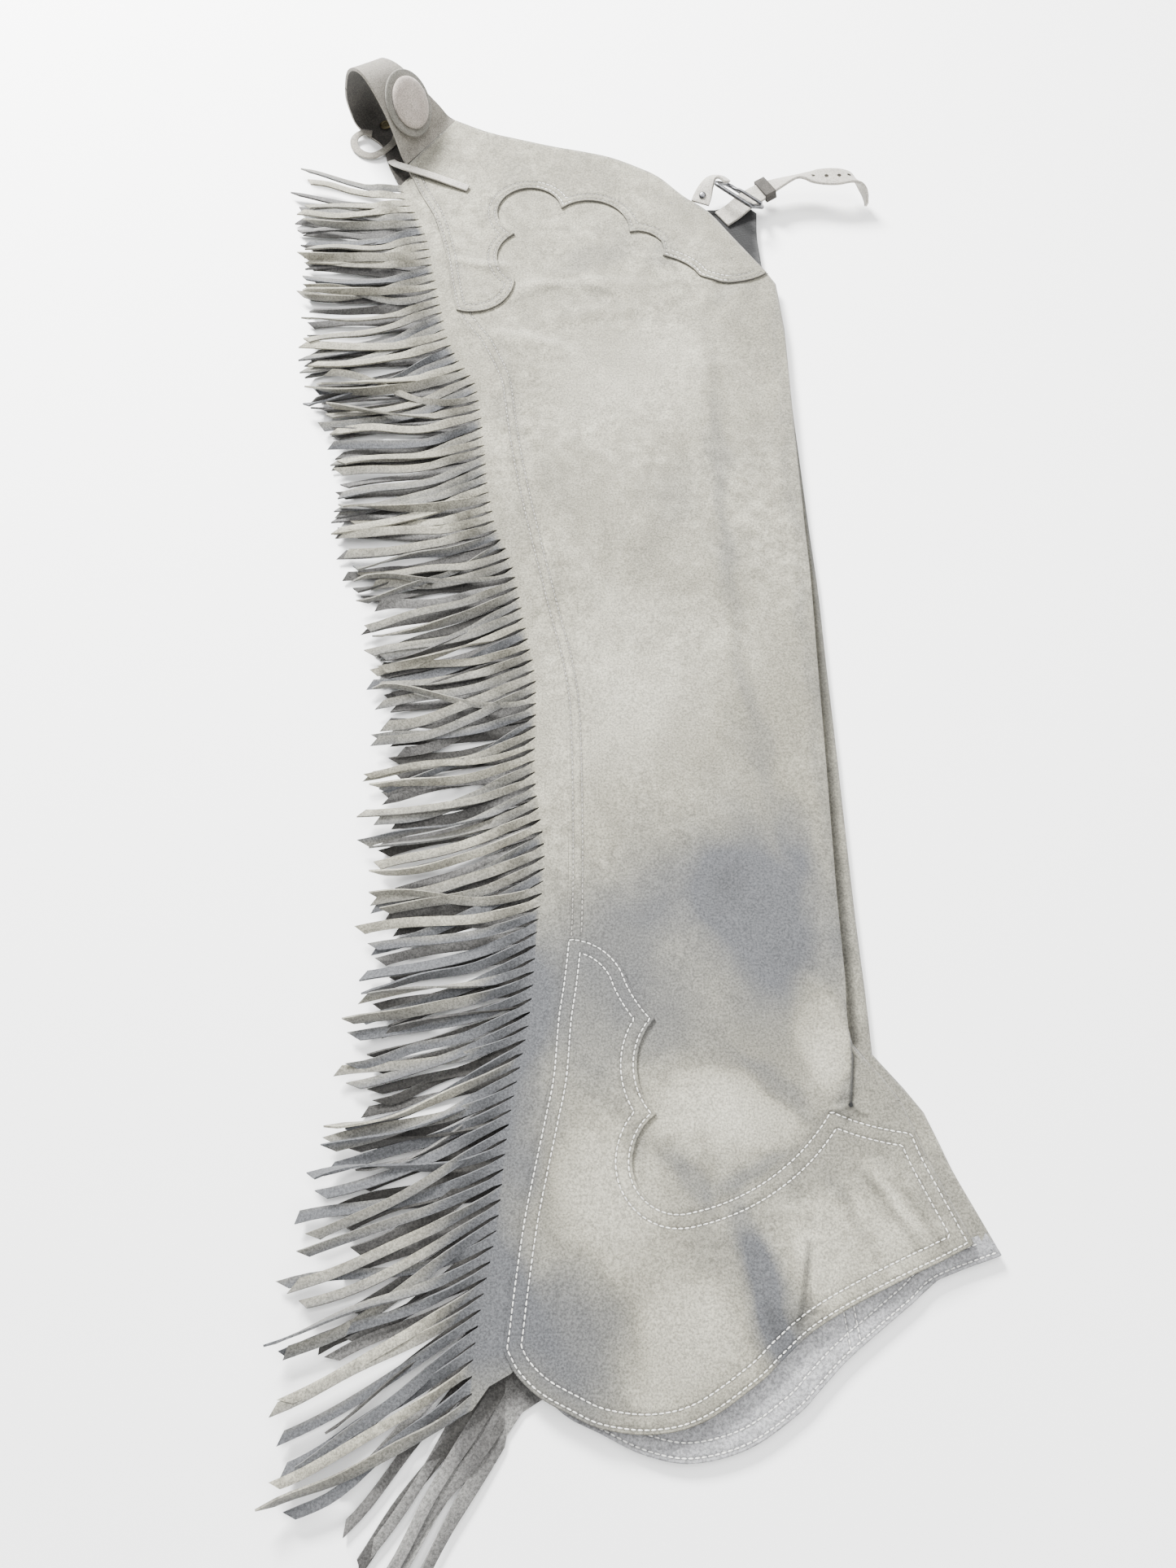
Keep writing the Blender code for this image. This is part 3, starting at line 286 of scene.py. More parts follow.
BUCKLE_LENGTH = 38.0
BUCKLE_WIDTH = 25.0
BUCKLE_WIRE = 1.6
BUCKLE_CORNER = 5.0
BELT_HEADING = Vector((0.745, -0.667, 0.0)).normalized()
BELT_ACROSS = Vector((0.54, 0.60, -0.59)).normalized()


def place(x, y, z=0.0):
    """A place of the layout, in the frame's metres."""
    return (Vector((x, y, z)) + SHIFT) * MM


# Finishes


def linear(colour):
    """sRGB hex as a linear colour with its alpha."""
    parts = [int(colour[k : k + 2], 16) / 255 for k in (1, 3, 5)]
    return (*(c / 12.92 if c <= 0.04045 else ((c + 0.055) / 1.055) ** 2.4 for c in parts), 1.0)


def per_metre(size):
    """Texture scale of a pattern whose size is given in millimetres."""
    return 1 / (size * MM)


def add(tree, kind, sockets=None, **settings):
    """Adds a node with its settings. A socket takes a value, or another node's output to link."""
    node = tree.nodes.new("ShaderNode" + kind)
    for name, value in settings.items():
        setattr(node, name, value)
    for name, value in (sockets or {}).items():
        if isinstance(value, bpy.types.NodeSocket):
            tree.links.new(value, node.inputs[name])
        else:
            node.inputs[name].default_value = value
    return node


def new_finish(name):
    """An empty material, with its tree and shader."""
    made = bpy.data.materials.new(name)
    made.use_nodes = True
    return made, made.node_tree, made.node_tree.nodes["Principled BSDF"]


def napped_leather(name, pale, deep, cool, light_tint, grain, relief, sheen):
    """Leather buffed to a nap. Its fibres lie unevenly, so it looks mottled and never shines.

    Painted shade mixes in the cool tint and painted light the pale light tint, by an attribute, and the
    attribute pressed darkens the pressed rows and adds deeper painted shade.
    """
    made, tree, shader = new_finish(name)
    where = add(tree, "TexCoord").outputs["Object"]
    # Smudges, tufts and fibres in mm. The fibres are drawn coarser than their real 0.2 mm, so that they show
    smudge, nap, fibre = (
        add(tree, "TexNoise", {
            "Vector": where, "Scale": per_metre(size), "Detail": detail, "Roughness": rough,
        })
        for size, detail, rough in ((95, 4.0, 0.6), (11, 5.0, 0.7), (grain, 3.0, 0.75))
    )
    patch = add(tree, "MapRange", {"Value": smudge.outputs["Fac"], "From Min": 0.40, "From Max": 0.64})
    streak = add(
        tree, "MapRange", {"Value": nap.outputs["Fac"], "From Min": 0.38, "From Max": 0.60, "To Max": 0.95}
    )
    # The grey turns darker and cooler towards the hem
    down = add(tree, "SeparateXYZ", {"Vector": where}).outputs["Y"]
    drift = add(
        tree, "MapRange", {"Value": down, "From Min": -0.02, "From Max": -0.20, "To Max": 0.2},
        interpolation_type="SMOOTHSTEP",
    )
    # Painted shade above 0 adds to that share, and painted light below 0 mixes in the pale tint, with some
    # random tone
    painted_light_and_tone = add(tree, "Attribute", attribute_name="painted_light_and_tone").outputs["Fac"]
    cooler = add(tree, "Math", {0: drift.outputs["Result"], 1: painted_light_and_tone}, operation="ADD", use_clamp=True)
    lit_share = add(tree, "MapRange", {"Value": painted_light_and_tone, "From Min": 0.0, "From Max": -1.0})
    # Each tint lies over those before it
    tone = linear(pale)
    for share, tint in ((patch, deep), (streak, deep), (cooler, cool), (lit_share, light_tint)):
        mixed = add(tree, "Mix", {"Factor": share.outputs[0], 6: tone, 7: linear(tint)}, data_type="RGBA")
        tone = mixed.outputs[2]
    grains = add(
        tree, "MapRange",
        {"Value": fibre.outputs["Fac"], "From Min": 0.38, "From Max": 0.62, "To Min": 0.62, "To Max": 1.34},
    )
    grainy = add(tree, "VectorMath", {0: tone, "Scale": grains.outputs["Result"]}, operation="SCALE")
    # The attribute pressed darkens the pressed stitch rows, and holds painted shade in creases, along edges
    # and under the front opening
    pressed = add(tree, "Attribute", attribute_name="pressed").outputs["Fac"]
    worn = add(
        tree, "Mix", {"Factor": pressed, 6: grainy.outputs[0], 7: linear(PAINTED_SHADE_DARK)}, data_type="RGBA"
    )
    coarse = add(tree, "Bump", {"Height": nap.outputs["Fac"], "Distance": 0.6 * MM, "Strength": 0.5})
    fine = add(
        tree, "Bump", {
            "Height": fibre.outputs["Fac"], "Distance": relief * MM, "Strength": 0.8,
            "Normal": coarse.outputs["Normal"],
        },
    )
    tree.links.new(worn.outputs[2], shader.inputs["Base Color"])
    tree.links.new(fine.outputs["Normal"], shader.inputs["Normal"])
    shader.inputs["Roughness"].default_value = 0.95
    shader.inputs["IOR"].default_value = 1.45
    shader.inputs["Specular IOR Level"].default_value = 0.2
    shader.inputs["Sheen Weight"].default_value = sheen
    shader.inputs["Sheen Roughness"].default_value = 0.55
    return made


def twisted_thread(name, colour, dip):
    """Twisted polyester sewing thread. The twist shows as a fine slanting shade."""
    made, tree, shader = new_finish(name)
    where = add(tree, "TexCoord").outputs["Object"]
    # Drawn at 0.9 mm a turn, as the real 0.3 mm would not show
    twist = add(
        tree, "TexWave", {"Vector": where, "Scale": per_metre(0.9) / 6, "Distortion": 2.0},
        bands_direction="DIAGONAL",
    )
    tone = add(
        tree, "Mix", {"Factor": twist.outputs["Fac"], 6: linear(colour), 7: linear(dip)}, data_type="RGBA"
    )
    bump = add(tree, "Bump", {"Height": twist.outputs["Fac"], "Distance": 0.1 * MM, "Strength": 0.5})
    tree.links.new(tone.outputs[2], shader.inputs["Base Color"])
    tree.links.new(bump.outputs["Normal"], shader.inputs["Normal"])
    shader.inputs["Roughness"].default_value = 0.6
    shader.inputs["IOR"].default_value = 1.55
    shader.inputs["Sheen Weight"].default_value = 0.2
    return made


def metal(name, colour, tarnish, roughness, wear_and_painted_light):
    """Plated or plain metal with faint handling marks, duller in patches whose size is given in mm."""
    made, tree, shader = new_finish(name)
    where = add(tree, "TexCoord").outputs["Object"]
    marks = add(
        tree, "TexNoise", {"Vector": where, "Scale": per_metre(wear_and_painted_light), "Detail": 6.0, "Roughness": 0.65}
    )
    dull = add(tree, "MapRange", {"Value": marks.outputs["Fac"], "From Min": 0.45, "From Max": 0.75})
    tone = add(
        tree, "Mix", {"Factor": dull.outputs["Result"], 6: linear(colour), 7: linear(tarnish)},
        data_type="RGBA",
    )
    rough = add(
        tree, "MapRange", {"Value": marks.outputs["Fac"], "To Min": roughness, "To Max": roughness + 0.25}
    )
    bump = add(tree, "Bump", {"Height": marks.outputs["Fac"], "Distance": 0.05 * MM, "Strength": 0.4})
    tree.links.new(tone.outputs[2], shader.inputs["Base Color"])
    tree.links.new(rough.outputs["Result"], shader.inputs["Roughness"])
    tree.links.new(bump.outputs["Normal"], shader.inputs["Normal"])
    shader.inputs["Metallic"].default_value = 1.0
    return made


# Buffed split cowhide, dyed pale warm grey: matt, soft and finely speckled
suede = napped_leather("grey_suede", "#8c897b", "#6d6a5e", "#4a4b4d", "#a3a092", 1.3, 0.45, 0.2)
# The flesh side of the same hide: coarser, cooler, and its loose fibres catch the light
flesh_side = napped_leather(
    "grey_suede_flesh_side", "#969696", "#7f7f80", "#5c5d60", "#acacae", 1.5, 0.6, 0.2
)
# The under leg's strands show that side too, painted darker for the shade they lie in under the upper leg
under_strand = napped_leather("shaded_flesh_side", "#5c5b59", "#484746", "#32312f", "#83827e", 1.4, 0.5, 0.1)
# Firmer suede of the belt: a shade warmer, with a tighter nap
belt_suede = napped_leather("grey_belt_suede", "#827e75", "#6c6860", "#535456", "#96928a", 0.9, 0.3, 0.15)
# The button's cover: the same suede stretched over a form, so it is smoother and a shade warmer
cover = napped_leather("stretched_grey_suede", "#968e85", "#877e76", "#797470", "#a19990", 0.9, 0.2, 0.2)
# The washer under it lies in the button's shade, and is given a darker grey
washer_suede = napped_leather("dark_grey_suede", "#726f68", "#626059", "#555350", "#807e76", 0.9, 0.3, 0.15)
# Lace and straps cut from the pale middle of the hide
lace_suede = napped_leather("pale_lace_suede", "#a39f96", "#928e86", "#7e7d79", "#b1ada4", 0.9, 0.25, 0.2)
# The cut edge of the hide: paler, with no nap
cut_edge = napped_leather("suede_cut_edge", "#9c9890", "#86827b", "#707070", "#afaba3", 0.9, 0.2, 0.15)
# The strands' edges are cut by a machine, and given a darker grey
strand_edge = napped_leather("dark_strand_edge", "#6a6862", "#5a5853", "#474748", "#7d7a73", 0.9, 0.2, 0.1)
# The overlays' cut edges, in a darker grey
dark_edge = napped_leather("dark_suede_edge", "#74716a", "#67645e", "#5a5a5a", "#827f78", 0.9, 0.2, 0.1)
# The belt's inner side, seen in the loop, and the keeper cut from it: painted darker, for the shade in the
# loop and on the keeper
shaded_lining = napped_leather("shaded_grey_belt_lining", "#46433f", "#383633", "#2f2f30", "#5d5a56", 0.9, 0.3, 0.05)
# Pale sewing thread of the trim, and the grey one of the yoke and seams
pale_thread = twisted_thread("pale_polyester_thread", "#dddcd6", "#b5b4b0")
tone_thread = twisted_thread("grey_polyester_thread", "#928f88", "#6b6862")
# Nickel plate: bright and cool, with small scuffs
nickel = metal("nickel_plated_steel", "#626264", "#2b2c2d", 0.2, 2.5)
# Old brass: dull yellow brown, darker in patches
brass = metal("aged_brass", "#5b5440", "#332e22", 0.4, 1.6)
# Painted shadow: a near black finish for the shade inside a punched hole
hole_shadow = napped_leather("painted_hole_shadow", "#35332d", "#26241f", "#1d1c1a", "#45423a", 1.0, 0.1, 0.0)


# Meshes


def put_in_scene(name, data):
    """A new object of the given data."""
    item = bpy.data.objects.new(name, data)
    bpy.context.scene.collection.objects.link(item)
    return item


def show_mesh(name, skin, finishes, replaced=(), smooth=50):
    """Puts a mesh given in layout millimetres into the scene, riding on the body."""
    mesh = bpy.data.meshes.new(name)
    for vertex in skin.verts:
        vertex.co = (vertex.co + SHIFT) * MM
    skin.to_mesh(mesh)
    skin.free()
    for finish in finishes:
        mesh.materials.append(finish)
    mesh.shade_smooth()
    mesh.set_sharp_from_angle(angle=math.radians(smooth))
    item = put_in_scene(name, mesh)
    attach(item, BODY)
    if replaced:
        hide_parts(*replaced)
    return item


def walled(spots, faces, thickness, both_sides=False):
    """A closed bmesh wall over an open skin, its thickness below the skin or half on each side."""
    mesh = bpy.data.meshes.new("open_skin")
    mesh.from_pydata([tuple(spot) for spot in spots], [], faces)
    item = put_in_scene("open_skin", mesh)
    wall = item.modifiers.new("wall", "SOLIDIFY")
    wall.thickness = thickness
    wall.offset = 0.0 if both_sides else -1.0
    wall.use_rim = True
    wall.material_offset_rim = 1
    bpy.context.view_layer.update()
    solid = item.evaluated_get(bpy.context.evaluated_depsgraph_get())
    skin = bmesh.new()
    skin.from_mesh(solid.to_mesh())
    solid.to_mesh_clear()
    bpy.data.objects.remove(item)
    bpy.data.meshes.remove(mesh)
    return skin


def copied_skin(node):
    """A CAD node's closed mesh in layout millimetres."""
    skin = bmesh.new()
    skin.from_mesh(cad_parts[node].data)
    bmesh.ops.remove_doubles(skin, verts=skin.verts, dist=WELD)
    for vertex in skin.verts:
        vertex.co = vertex.co / MM - SHIFT
    skin.normal_update()
    return skin


def rim_loop(skin, facing, level):
    """The outline, in order, of the skin that faces up or down beyond a level."""
    worked = set()
    for face in skin.faces:
        if face.normal.z * facing > 0.7 and face.calc_center_median().z * facing > level * facing:
            worked.add(face)
    after = {}
    for face in worked:
        for loop in face.loops:
            if sum(other in worked for other in loop.edge.link_faces) == 1:
                after[loop.vert] = loop.link_loop_next.vert
    # The loop round the most points is the outline
    best = []
    seen = set()
    for start in after:
        if start in seen:
            continue
        path = [start]
        seen.add(start)
        while after.get(path[-1]) not in (None, start) and after[path[-1]] not in seen:
            path.append(after[path[-1]])
            seen.add(path[-1])
        if len(path) > len(best):
            best = path
    points = np.array([(v.co.x, v.co.y) for v in best])
    return points if facing > 0 else points[::-1]


def dense(loop, step=1.0):
    """Points of a closed outline a step apart, with the direction that leads outward."""
    ends = np.roll(loop, -1, axis=0)
    spots = []
    outward = []
    for a, b in zip(loop, ends):
        length = np.hypot(*(b - a))
        if length < 1e-6:
            continue
        along = (b - a) / length
        count = max(1, round(length / step))
        for k in range(count):
            spots.append(a + (b - a) * k / count)
            outward.append((along[1], -along[0]))
    spots = np.array(spots)
    outward = np.array(outward)
    area = np.sum(spots[:, 0] * np.roll(spots[:, 1], -1) - spots[:, 1] * np.roll(spots[:, 0], -1))
    return spots, outward * np.sign(area)


def tree_of(spots):
    """A search tree of flat places."""
    tree = KDTree(len(spots))
    for k, spot in enumerate(spots):
        tree.insert((spot[0], spot[1], 0), k)
    tree.balance()
    return tree


def gaps_to(line, spots):
    """How far each place lies from a line, on the flat."""
    tree = tree_of(line)
    return np.array([tree.find((spot[0], spot[1], 0))[2] for spot in spots])


def sewn_lines(loop, row):
    """Lines of a stitch row: inside an outline at the row's distance, where no edge is nearer."""
    spots, outward = dense(loop)
    edge = tree_of(spots)
    lines = [[]]
    for spot, out in zip(spots, outward):
        inner = spot - out * row.distance
        wanted = row.keep is None or row.keep(*spot, *out)
        if wanted and edge.find((*inner, 0))[2] > row.distance - 0.12:
            if lines[-1] and np.hypot(*(inner - lines[-1][-1])) > 26:
                lines.append([])
            lines[-1].append(inner)
    return [spaced(line, 0.8) for line in lines if len(line) > 12]


def spaced(line, step):
    """The points of a line at even steps."""
    line = np.array(line)
    gaps = np.hypot(*np.diff(line, axis=0).T)
    run = np.concatenate([[0], np.cumsum(gaps)])
    want = np.arange(0, run[-1], step)
    return np.stack([np.interp(want, run, line[:, 0]), np.interp(want, run, line[:, 1])], axis=1)


def refine(skin, size_at):
    """Splits edges until none is longer than the size wanted at its middle."""
    for _ in range(REFINE_ROUNDS):
        long = []
        for edge in skin.edges:
            length = edge.calc_length()
            middle = (edge.verts[0].co + edge.verts[1].co) / 2
            if length > size_at(middle, length):
                long.append(edge)
        if not long:
            break
        bmesh.ops.subdivide_edges(skin, edges=long, cuts=1)
        bmesh.ops.triangulate(skin, faces=[face for face in skin.faces if len(face.verts) > 3])
        skin.normal_update()
        flat = [e for e in skin.edges if len(e.link_faces) == 2 and e.calc_face_angle(4) < 0.05]
        bmesh.ops.beautify_fill(skin, faces=skin.faces, edges=flat, method="AREA")
    skin.normal_update()


def between(a, b, c, d, t):
    """Value at t, from b to c, of the Catmull-Rom curve through four values in a row."""
    bend = 2 * a - 5 * b + 4 * c - d
    twist = 3 * b - a - 3 * c + d
    return 0.5 * (2 * b + (c - a) * t + bend * t**2 + twist * t**3)


def curved_sides(loop):
    """Each side of a closed outline, as four points of a curve that is sharp only at the corners."""
    count = len(loop)
    for k in range(count):
        a, b, c, d = (loop[(k + step) % count] for step in (-1, 0, 1, 2))
        if corner_angle(a, b, c) > CORNER:
            a = 2 * b - c
        if corner_angle(b, c, d) > CORNER:
            d = 2 * c - b
        yield a, b, c, d


def rounded_loop(loop):
    """A closed outline with a curve through its points."""
    spots = []
    for a, b, c, d in curved_sides(loop):
        steps = max(1, round(np.hypot(*(c - b)) / 2))
        spots += [between(a, b, c, d, j / steps) for j in range(steps)]
    return np.array(spots)


def corner_angle(a, b, c):
    """How far an outline turns at its middle point."""
    first = b - a
    second = c - b
    return abs(math.atan2(first[0] * second[1] - first[1] * second[0], first @ second))


def round_outline(skin, loop):
    """Moves what lies near the straight pieces of an outline onto the curve through its points."""
    flat = []
    shift = []
    for a, b, c, d in curved_sides(loop):
        steps = max(1, round(np.hypot(*(c - b)) / 1.5))
        for j in range(steps):
            chord = b + (c - b) * j / steps
            flat.append(chord)
            shift.append(between(a, b, c, d, j / steps) - chord)
    tree = tree_of(flat)
    for vertex in skin.verts:
        _, number, gap = tree.find((vertex.co.x, vertex.co.y, 0))
        share = 1 - ramp(gap, 1.0, OUTLINE_REACH)
        if share > 0:
            vertex.co.x += float(shift[number][0] * share)
            vertex.co.y += float(shift[number][1] * share)


def coordinates(skin):
    """All the places of a mesh's vertices."""
    return np.array([vertex.co[:] for vertex in skin.verts])


def settle(skin, rounds):
    """Evens out the heights of the broad skins, so that no facet of the solid shows."""
    skin.verts.ensure_lookup_table()
    skin.verts.index_update()
    spots = coordinates(skin)
    ends = np.array([[v.index for v in e.verts] for e in skin.edges])
    rise = np.abs(spots[ends[:, 0], 2] - spots[ends[:, 1], 2])
    ends = ends[rise < 0.7]
    free = np.array([all(abs(f.normal.z) > 0.8 for f in v.link_faces) for v in skin.verts])
    heights = spots[:, 2].copy()
    count = np.bincount(ends.ravel(), minlength=len(spots))
    for _ in range(rounds):
        total = np.bincount(ends[:, 0], heights[ends[:, 1]], len(spots))
        total += np.bincount(ends[:, 1], heights[ends[:, 0]], len(spots))
        mean = np.where(count > 0, total / np.maximum(count, 1), heights)
        heights = np.where(free, (heights + mean) / 2, heights)
    for vertex, height in zip(skin.verts, heights):
        vertex.co.z = height


def ramp(value, start, end):
    """A soft step from 0 at start to 1 at end."""
    part = np.clip((value - start) / (end - start), 0, 1)
    return part * part * (3 - 2 * part)


def fold_heights(x, y):
    """Height of the soft ridges and hollows at places of the upper leg."""
    total = np.zeros_like(x)
    for fold in FOLDS:
        nearest = np.full_like(x, np.inf)
        side = np.zeros_like(x)
        along = np.zeros_like(x)
        pieces = len(fold.line) - 1
        for k, (a, b) in enumerate(zip(fold.line, fold.line[1:])):
            run = np.array(b) - np.array(a)
            length = np.hypot(*run)
            dx = x - a[0]
            dy = y - a[1]
            part = (dx * run[0] + dy * run[1]) / length**2
            inside = np.clip(part, 0, 1)
            gap = np.hypot(dx - inside * run[0], dy - inside * run[1])
            closer = gap < nearest
            nearest = np.where(closer, gap, nearest)
            side = np.where(closer, run[0] * dy - run[1] * dx, side)
            along = np.where(closer, (k + inside) / pieces, along)
        width = np.where(side > 0, fold.right, fold.left)
        across = np.clip(1 - nearest / width, 0, 1)
        profile = across * across * (3 - 2 * across)
        taper = np.clip(np.sin(math.pi * np.clip(along, 0, 1)) * 1.6 + 0.25, 0, 1)
        total += fold.height * profile * taper
    for dent in DENTS:
        total -= dent.depth * spot_weight(dent, x, y)
    return total


def spot_weight(spot, x, y, flatness=1):
    """A soft oval spot, 1 in its middle. The flatter it is, the steeper are its sides."""
    turn = math.radians(spot.turn)
    dx = x - spot.x
    dy = y - spot.y
    along = (dx * math.cos(turn) + dy * math.sin(turn)) / spot.long
    across = (dy * math.cos(turn) - dx * math.sin(turn)) / spot.wide
    return np.exp(-((along**2 + across**2) ** flatness))


def ripple(x, y):
    """Low uneven waves of a hide that has been worn and folded."""
    wave = 0.5 * np.sin(x / 17 + 1.3 * np.sin(y / 41)) * np.sin(y / 29 + x / 60)
    wave += 0.35 * np.sin(y / 12.5 + 2.1 * np.sin(x / 23)) * np.sin(x / 9.5 + y / 77)
    return wave


def dress_upper(skin, weight):
    """Adds the upper leg's folds to the vertices, each by its weight."""
    spots = coordinates(skin)
    x = spots[:, 0]
    y = spots[:, 1]
    # The pieces that lie on the waist keep the solid's height under them
    clear = 1 - ramp(y, 745, 790)
    lift = (fold_heights(x, y) + 0.5 * ripple(x, y)) * clear * weight(spots)
    for vertex, extra in zip(skin.verts, lift):
        vertex.co.z += float(extra)


def press_rows(skin, lines, facing, level):
    """Presses the stitch rows into the worked skin."""
    if not lines:
        return
    tree = tree_of(np.concatenate(lines))
    for vertex in skin.verts:
        if vertex.co.z * facing < level * facing or vertex.normal.z * facing < 0.3:
            continue
        gap = tree.find((vertex.co.x, vertex.co.y, 0))[2]
        if gap < ROW_HALF_WIDTH:
            vertex.co.z -= facing * ROW_DEPTH * (1 - (gap / ROW_HALF_WIDTH) ** 2) ** 2


def stitch_mesh(name, skin_tree, lines, facing, thread):
    """Threads of the stitch rows, each a short rounded stitch lying in its row."""
    mesh = bmesh.new()
    rings = ((-0.5, 0.45), (-0.22, 1.0), (0.22, 1.0), (0.5, 0.45))
    sides = 6
    for line in lines:
        for place_on_line in spaced(line, STITCH_PITCH):
            hit = skin_tree.ray_cast(Vector((*place_on_line, 90 * facing)), Vector((0, 0, -facing)))
            if hit[0] is None:
                continue
            k = int(np.argmin(np.hypot(*(line - place_on_line).T)))
            step = line[min(k + 2, len(line) - 1)] - line[max(k - 2, 0)]
            along = Vector((step[0], step[1], 0)).normalized()
            normal = hit[1] if hit[1].z * facing > 0 else -hit[1]
            along = (along - normal * along.dot(normal)).normalized()
            aside = normal.cross(along)
            centre = hit[0] + normal * 0.08
            rows = []
            for shift, size in rings:
                row = []
                for j in range(sides):
                    angle = math.tau * j / sides
                    spot = centre + along * shift * STITCH_LENGTH
                    spot += aside * math.cos(angle) * THREAD_WIDTH / 2 * size
                    spot += normal * math.sin(angle) * THREAD_WIDTH * 0.4 * size
                    row.append(mesh.verts.new(spot))
                rows.append(row)
            for a, b in zip(rows, rows[1:]):
                for j in range(sides):
                    n = (j + 1) % sides
                    mesh.faces.new((a[j], a[n], b[n], b[j]))
            mesh.faces.new(rows[0][::-1])
            mesh.faces.new(rows[-1])
    bmesh.ops.recalc_face_normals(mesh, faces=mesh.faces)
    return show_mesh(name, mesh, [thread])


def shade_amount(x, y, shades):
    """How much painted shade lies at places of a leg, above 0, and painted light, below 0, with a faint
    random tone. The borders wander.
    """
    across = x + 7 * ripple(x * 1.6, y * 1.6)
    along = y + 7 * ripple(y * 1.4 + 50, x * 1.4)
    amount = sum(shade.amount * spot_weight(shade, across, along, 1.7) for shade in shades)
    return amount + 0.16 * ripple(x * 1.1 + 30, y * 1.1)


def paint_light_and_shade(item, lines, shades, creases, edge):
    """Marks painted light and shade, and the dark of the stitch rows: their pressed nap with painted shade
    in the groove, and painted shade along edges and creases.
    """
    spots = np.zeros(len(item.data.vertices) * 3)
    item.data.vertices.foreach_get("co", spots)
    spots = spots.reshape(-1, 3) / MM - np.array(SHIFT)
    amount = shade_amount(spots[:, 0], spots[:, 1], shades)
    # Painted shade beyond the darkest shade goes on as near black painted shadow
    pressed = np.clip(amount - DARKEST_SHADE, 0, DARKEST_SHARE)
    # Stitch rows darken: their pressed nap, with painted shade in the groove
    if lines:
        pressed += PRESSED_SHADE * (1 - ramp(gaps_to(np.concatenate(lines), spots), 0.4, ROW_HALF_WIDTH))
    # Painted shade along the overlays' sewn edges
    if edge is not None:
        sewn_edge = [spot for spot, out in zip(*dense(edge)) if not on_waist(*spot, *out)]
        pressed += EDGE_SHADE * (1 - ramp(gaps_to(sewn_edge, spots), 0.1, 1.1))
    # Painted shade along the creases
    for crease in creases:
        pressed += crease.amount * (1 - ramp(gaps_to(spaced(crease.line, 0.5), spots), 0.2, crease.width))
    for name, values in (("painted_light_and_tone", amount), ("pressed", pressed)):
        layer = item.data.attributes.new(name, "FLOAT", "POINT")
        layer.data.foreach_set("value", values.astype(np.float32))


def dress_panel(
    node, finishes, facing, level, rows, step, wear_and_painted_light, weight=None, seams=(), edged=False
):
    """A panel on its solid's form: refined, creased, pressed along its rows, and sewn."""
    skin = copied_skin(node)
    loop = rounded_loop(rim_loop(skin, facing, level))
    sewn = [(row.thread, sewn_lines(loop, row)) for row in rows] + list(seams)
    lines = [line for _, found in sewn for line in found]
    near = tree_of(np.concatenate(lines)) if lines else None
    # The panel's painted light and shade, and the painted shade along its creases
    shades, creases = wear_and_painted_light
    sharp = tree_of(np.concatenate([spaced(crease.line, 1.5) for crease in creases]))

    def size_at(middle, length):
        if middle.z * facing < level * facing:
            return HIDDEN_STEP
        if near and near.find((middle.x, middle.y, 0))[2] < length / 2 + ROW_HALF_WIDTH:
            return FINE
        if sharp.find((middle.x, middle.y, 0))[2] < length / 2 + NEAR_CREASE:
            return CREASE_STEP
        return step

    corners = rim_loop(skin, facing, level)
    refine(skin, size_at)
    round_outline(skin, corners)
    settle(skin, SETTLE_ROUNDS)
    if weight:
        dress_upper(skin, weight)
    skin.normal_update()
    press_rows(skin, lines, facing, level)
    pressed = BVHTree.FromBMesh(skin)
    for face in skin.faces:
        face.material_index = 1 if abs(face.normal.z) < 0.35 else 0
        if len(finishes) > 2 and face.calc_center_median().y < HEM_INSIDE:
            face.material_index = 2
    item = show_mesh(node + "_suede", skin, finishes, [node])
    paint_light_and_shade(item, lines, shades, creases, loop if edged else None)
    threads = {}
    for thread, found in sewn:
        threads.setdefault(thread, []).extend(found)
    for thread, found in threads.items():
        if found:
            stitch_mesh(f"{node}_{thread}_stitches", pressed, found, facing, THREADS[thread])
    return item, loop


THREADS = {"pale": pale_thread, "grey": tone_thread}


# Fringe


def smooth_line(points, step):
    """Points along a Catmull-Rom curve through the given points, with the last one."""
    places = [Vector((p[0], p[1])) for p in points]
    places = [2 * places[0] - places[1]] + places + [2 * places[-1] - places[-2]]
    curve = []
    for a, b, c, d in zip(places, places[1:], places[2:], places[3:]):
        count = max(1, round((c - b).length / step))
        for k in range(count):
            curve.append(between(a, b, c, d, k / count))
    curve.append(places[-2])
    return curve


def under(points):
    """Where points of the upper leg lie on the under leg."""
    moved = []
    for spot in points:
        x = spot[0] - UNDER_PIVOT[0]
        y = spot[1] - UNDER_PIVOT[1]
        turned_x = x * math.cos(UNDER_TURN) - y * math.sin(UNDER_TURN)
        turned_y = x * math.sin(UNDER_TURN) + y * math.cos(UNDER_TURN)
        moved.append(Vector((UNDER_PIVOT[0] + turned_x, UNDER_PIVOT[1] + turned_y + UNDER_SHIFT)))
    return moved


def hang_at(rows, y):
    """Drop at the root and at the tip, and length, of a strand at a place along the leg."""
    heights = [row.y for row in rows][::-1]
    root, tip, length = (
        float(np.interp(y, heights, values[::-1]))
        for values in zip(*((row.root_drop, row.tip_drop, row.length) for row in rows))
    )
    return math.radians(root), math.radians(tip), length


def clump_plan(count, skip, draw):
    """For each strand, how far its clump draws its tip aside, in pitches, and its layer in the clump."""
    plan = []
    while len(plan) < count + skip:
        size = draw.choice((2, 3, 3, 4, 4, 5, 6))
        share = draw.uniform(0.5, 0.95)
        lean = draw.uniform(-1.0, 1.0)
        order = list(range(size))
        draw.shuffle(order)
        for k in range(size):
            plan.append((((size - 1) / 2 - k) * share + lean, order[k] % 3))
    return plan[skip : count + skip]


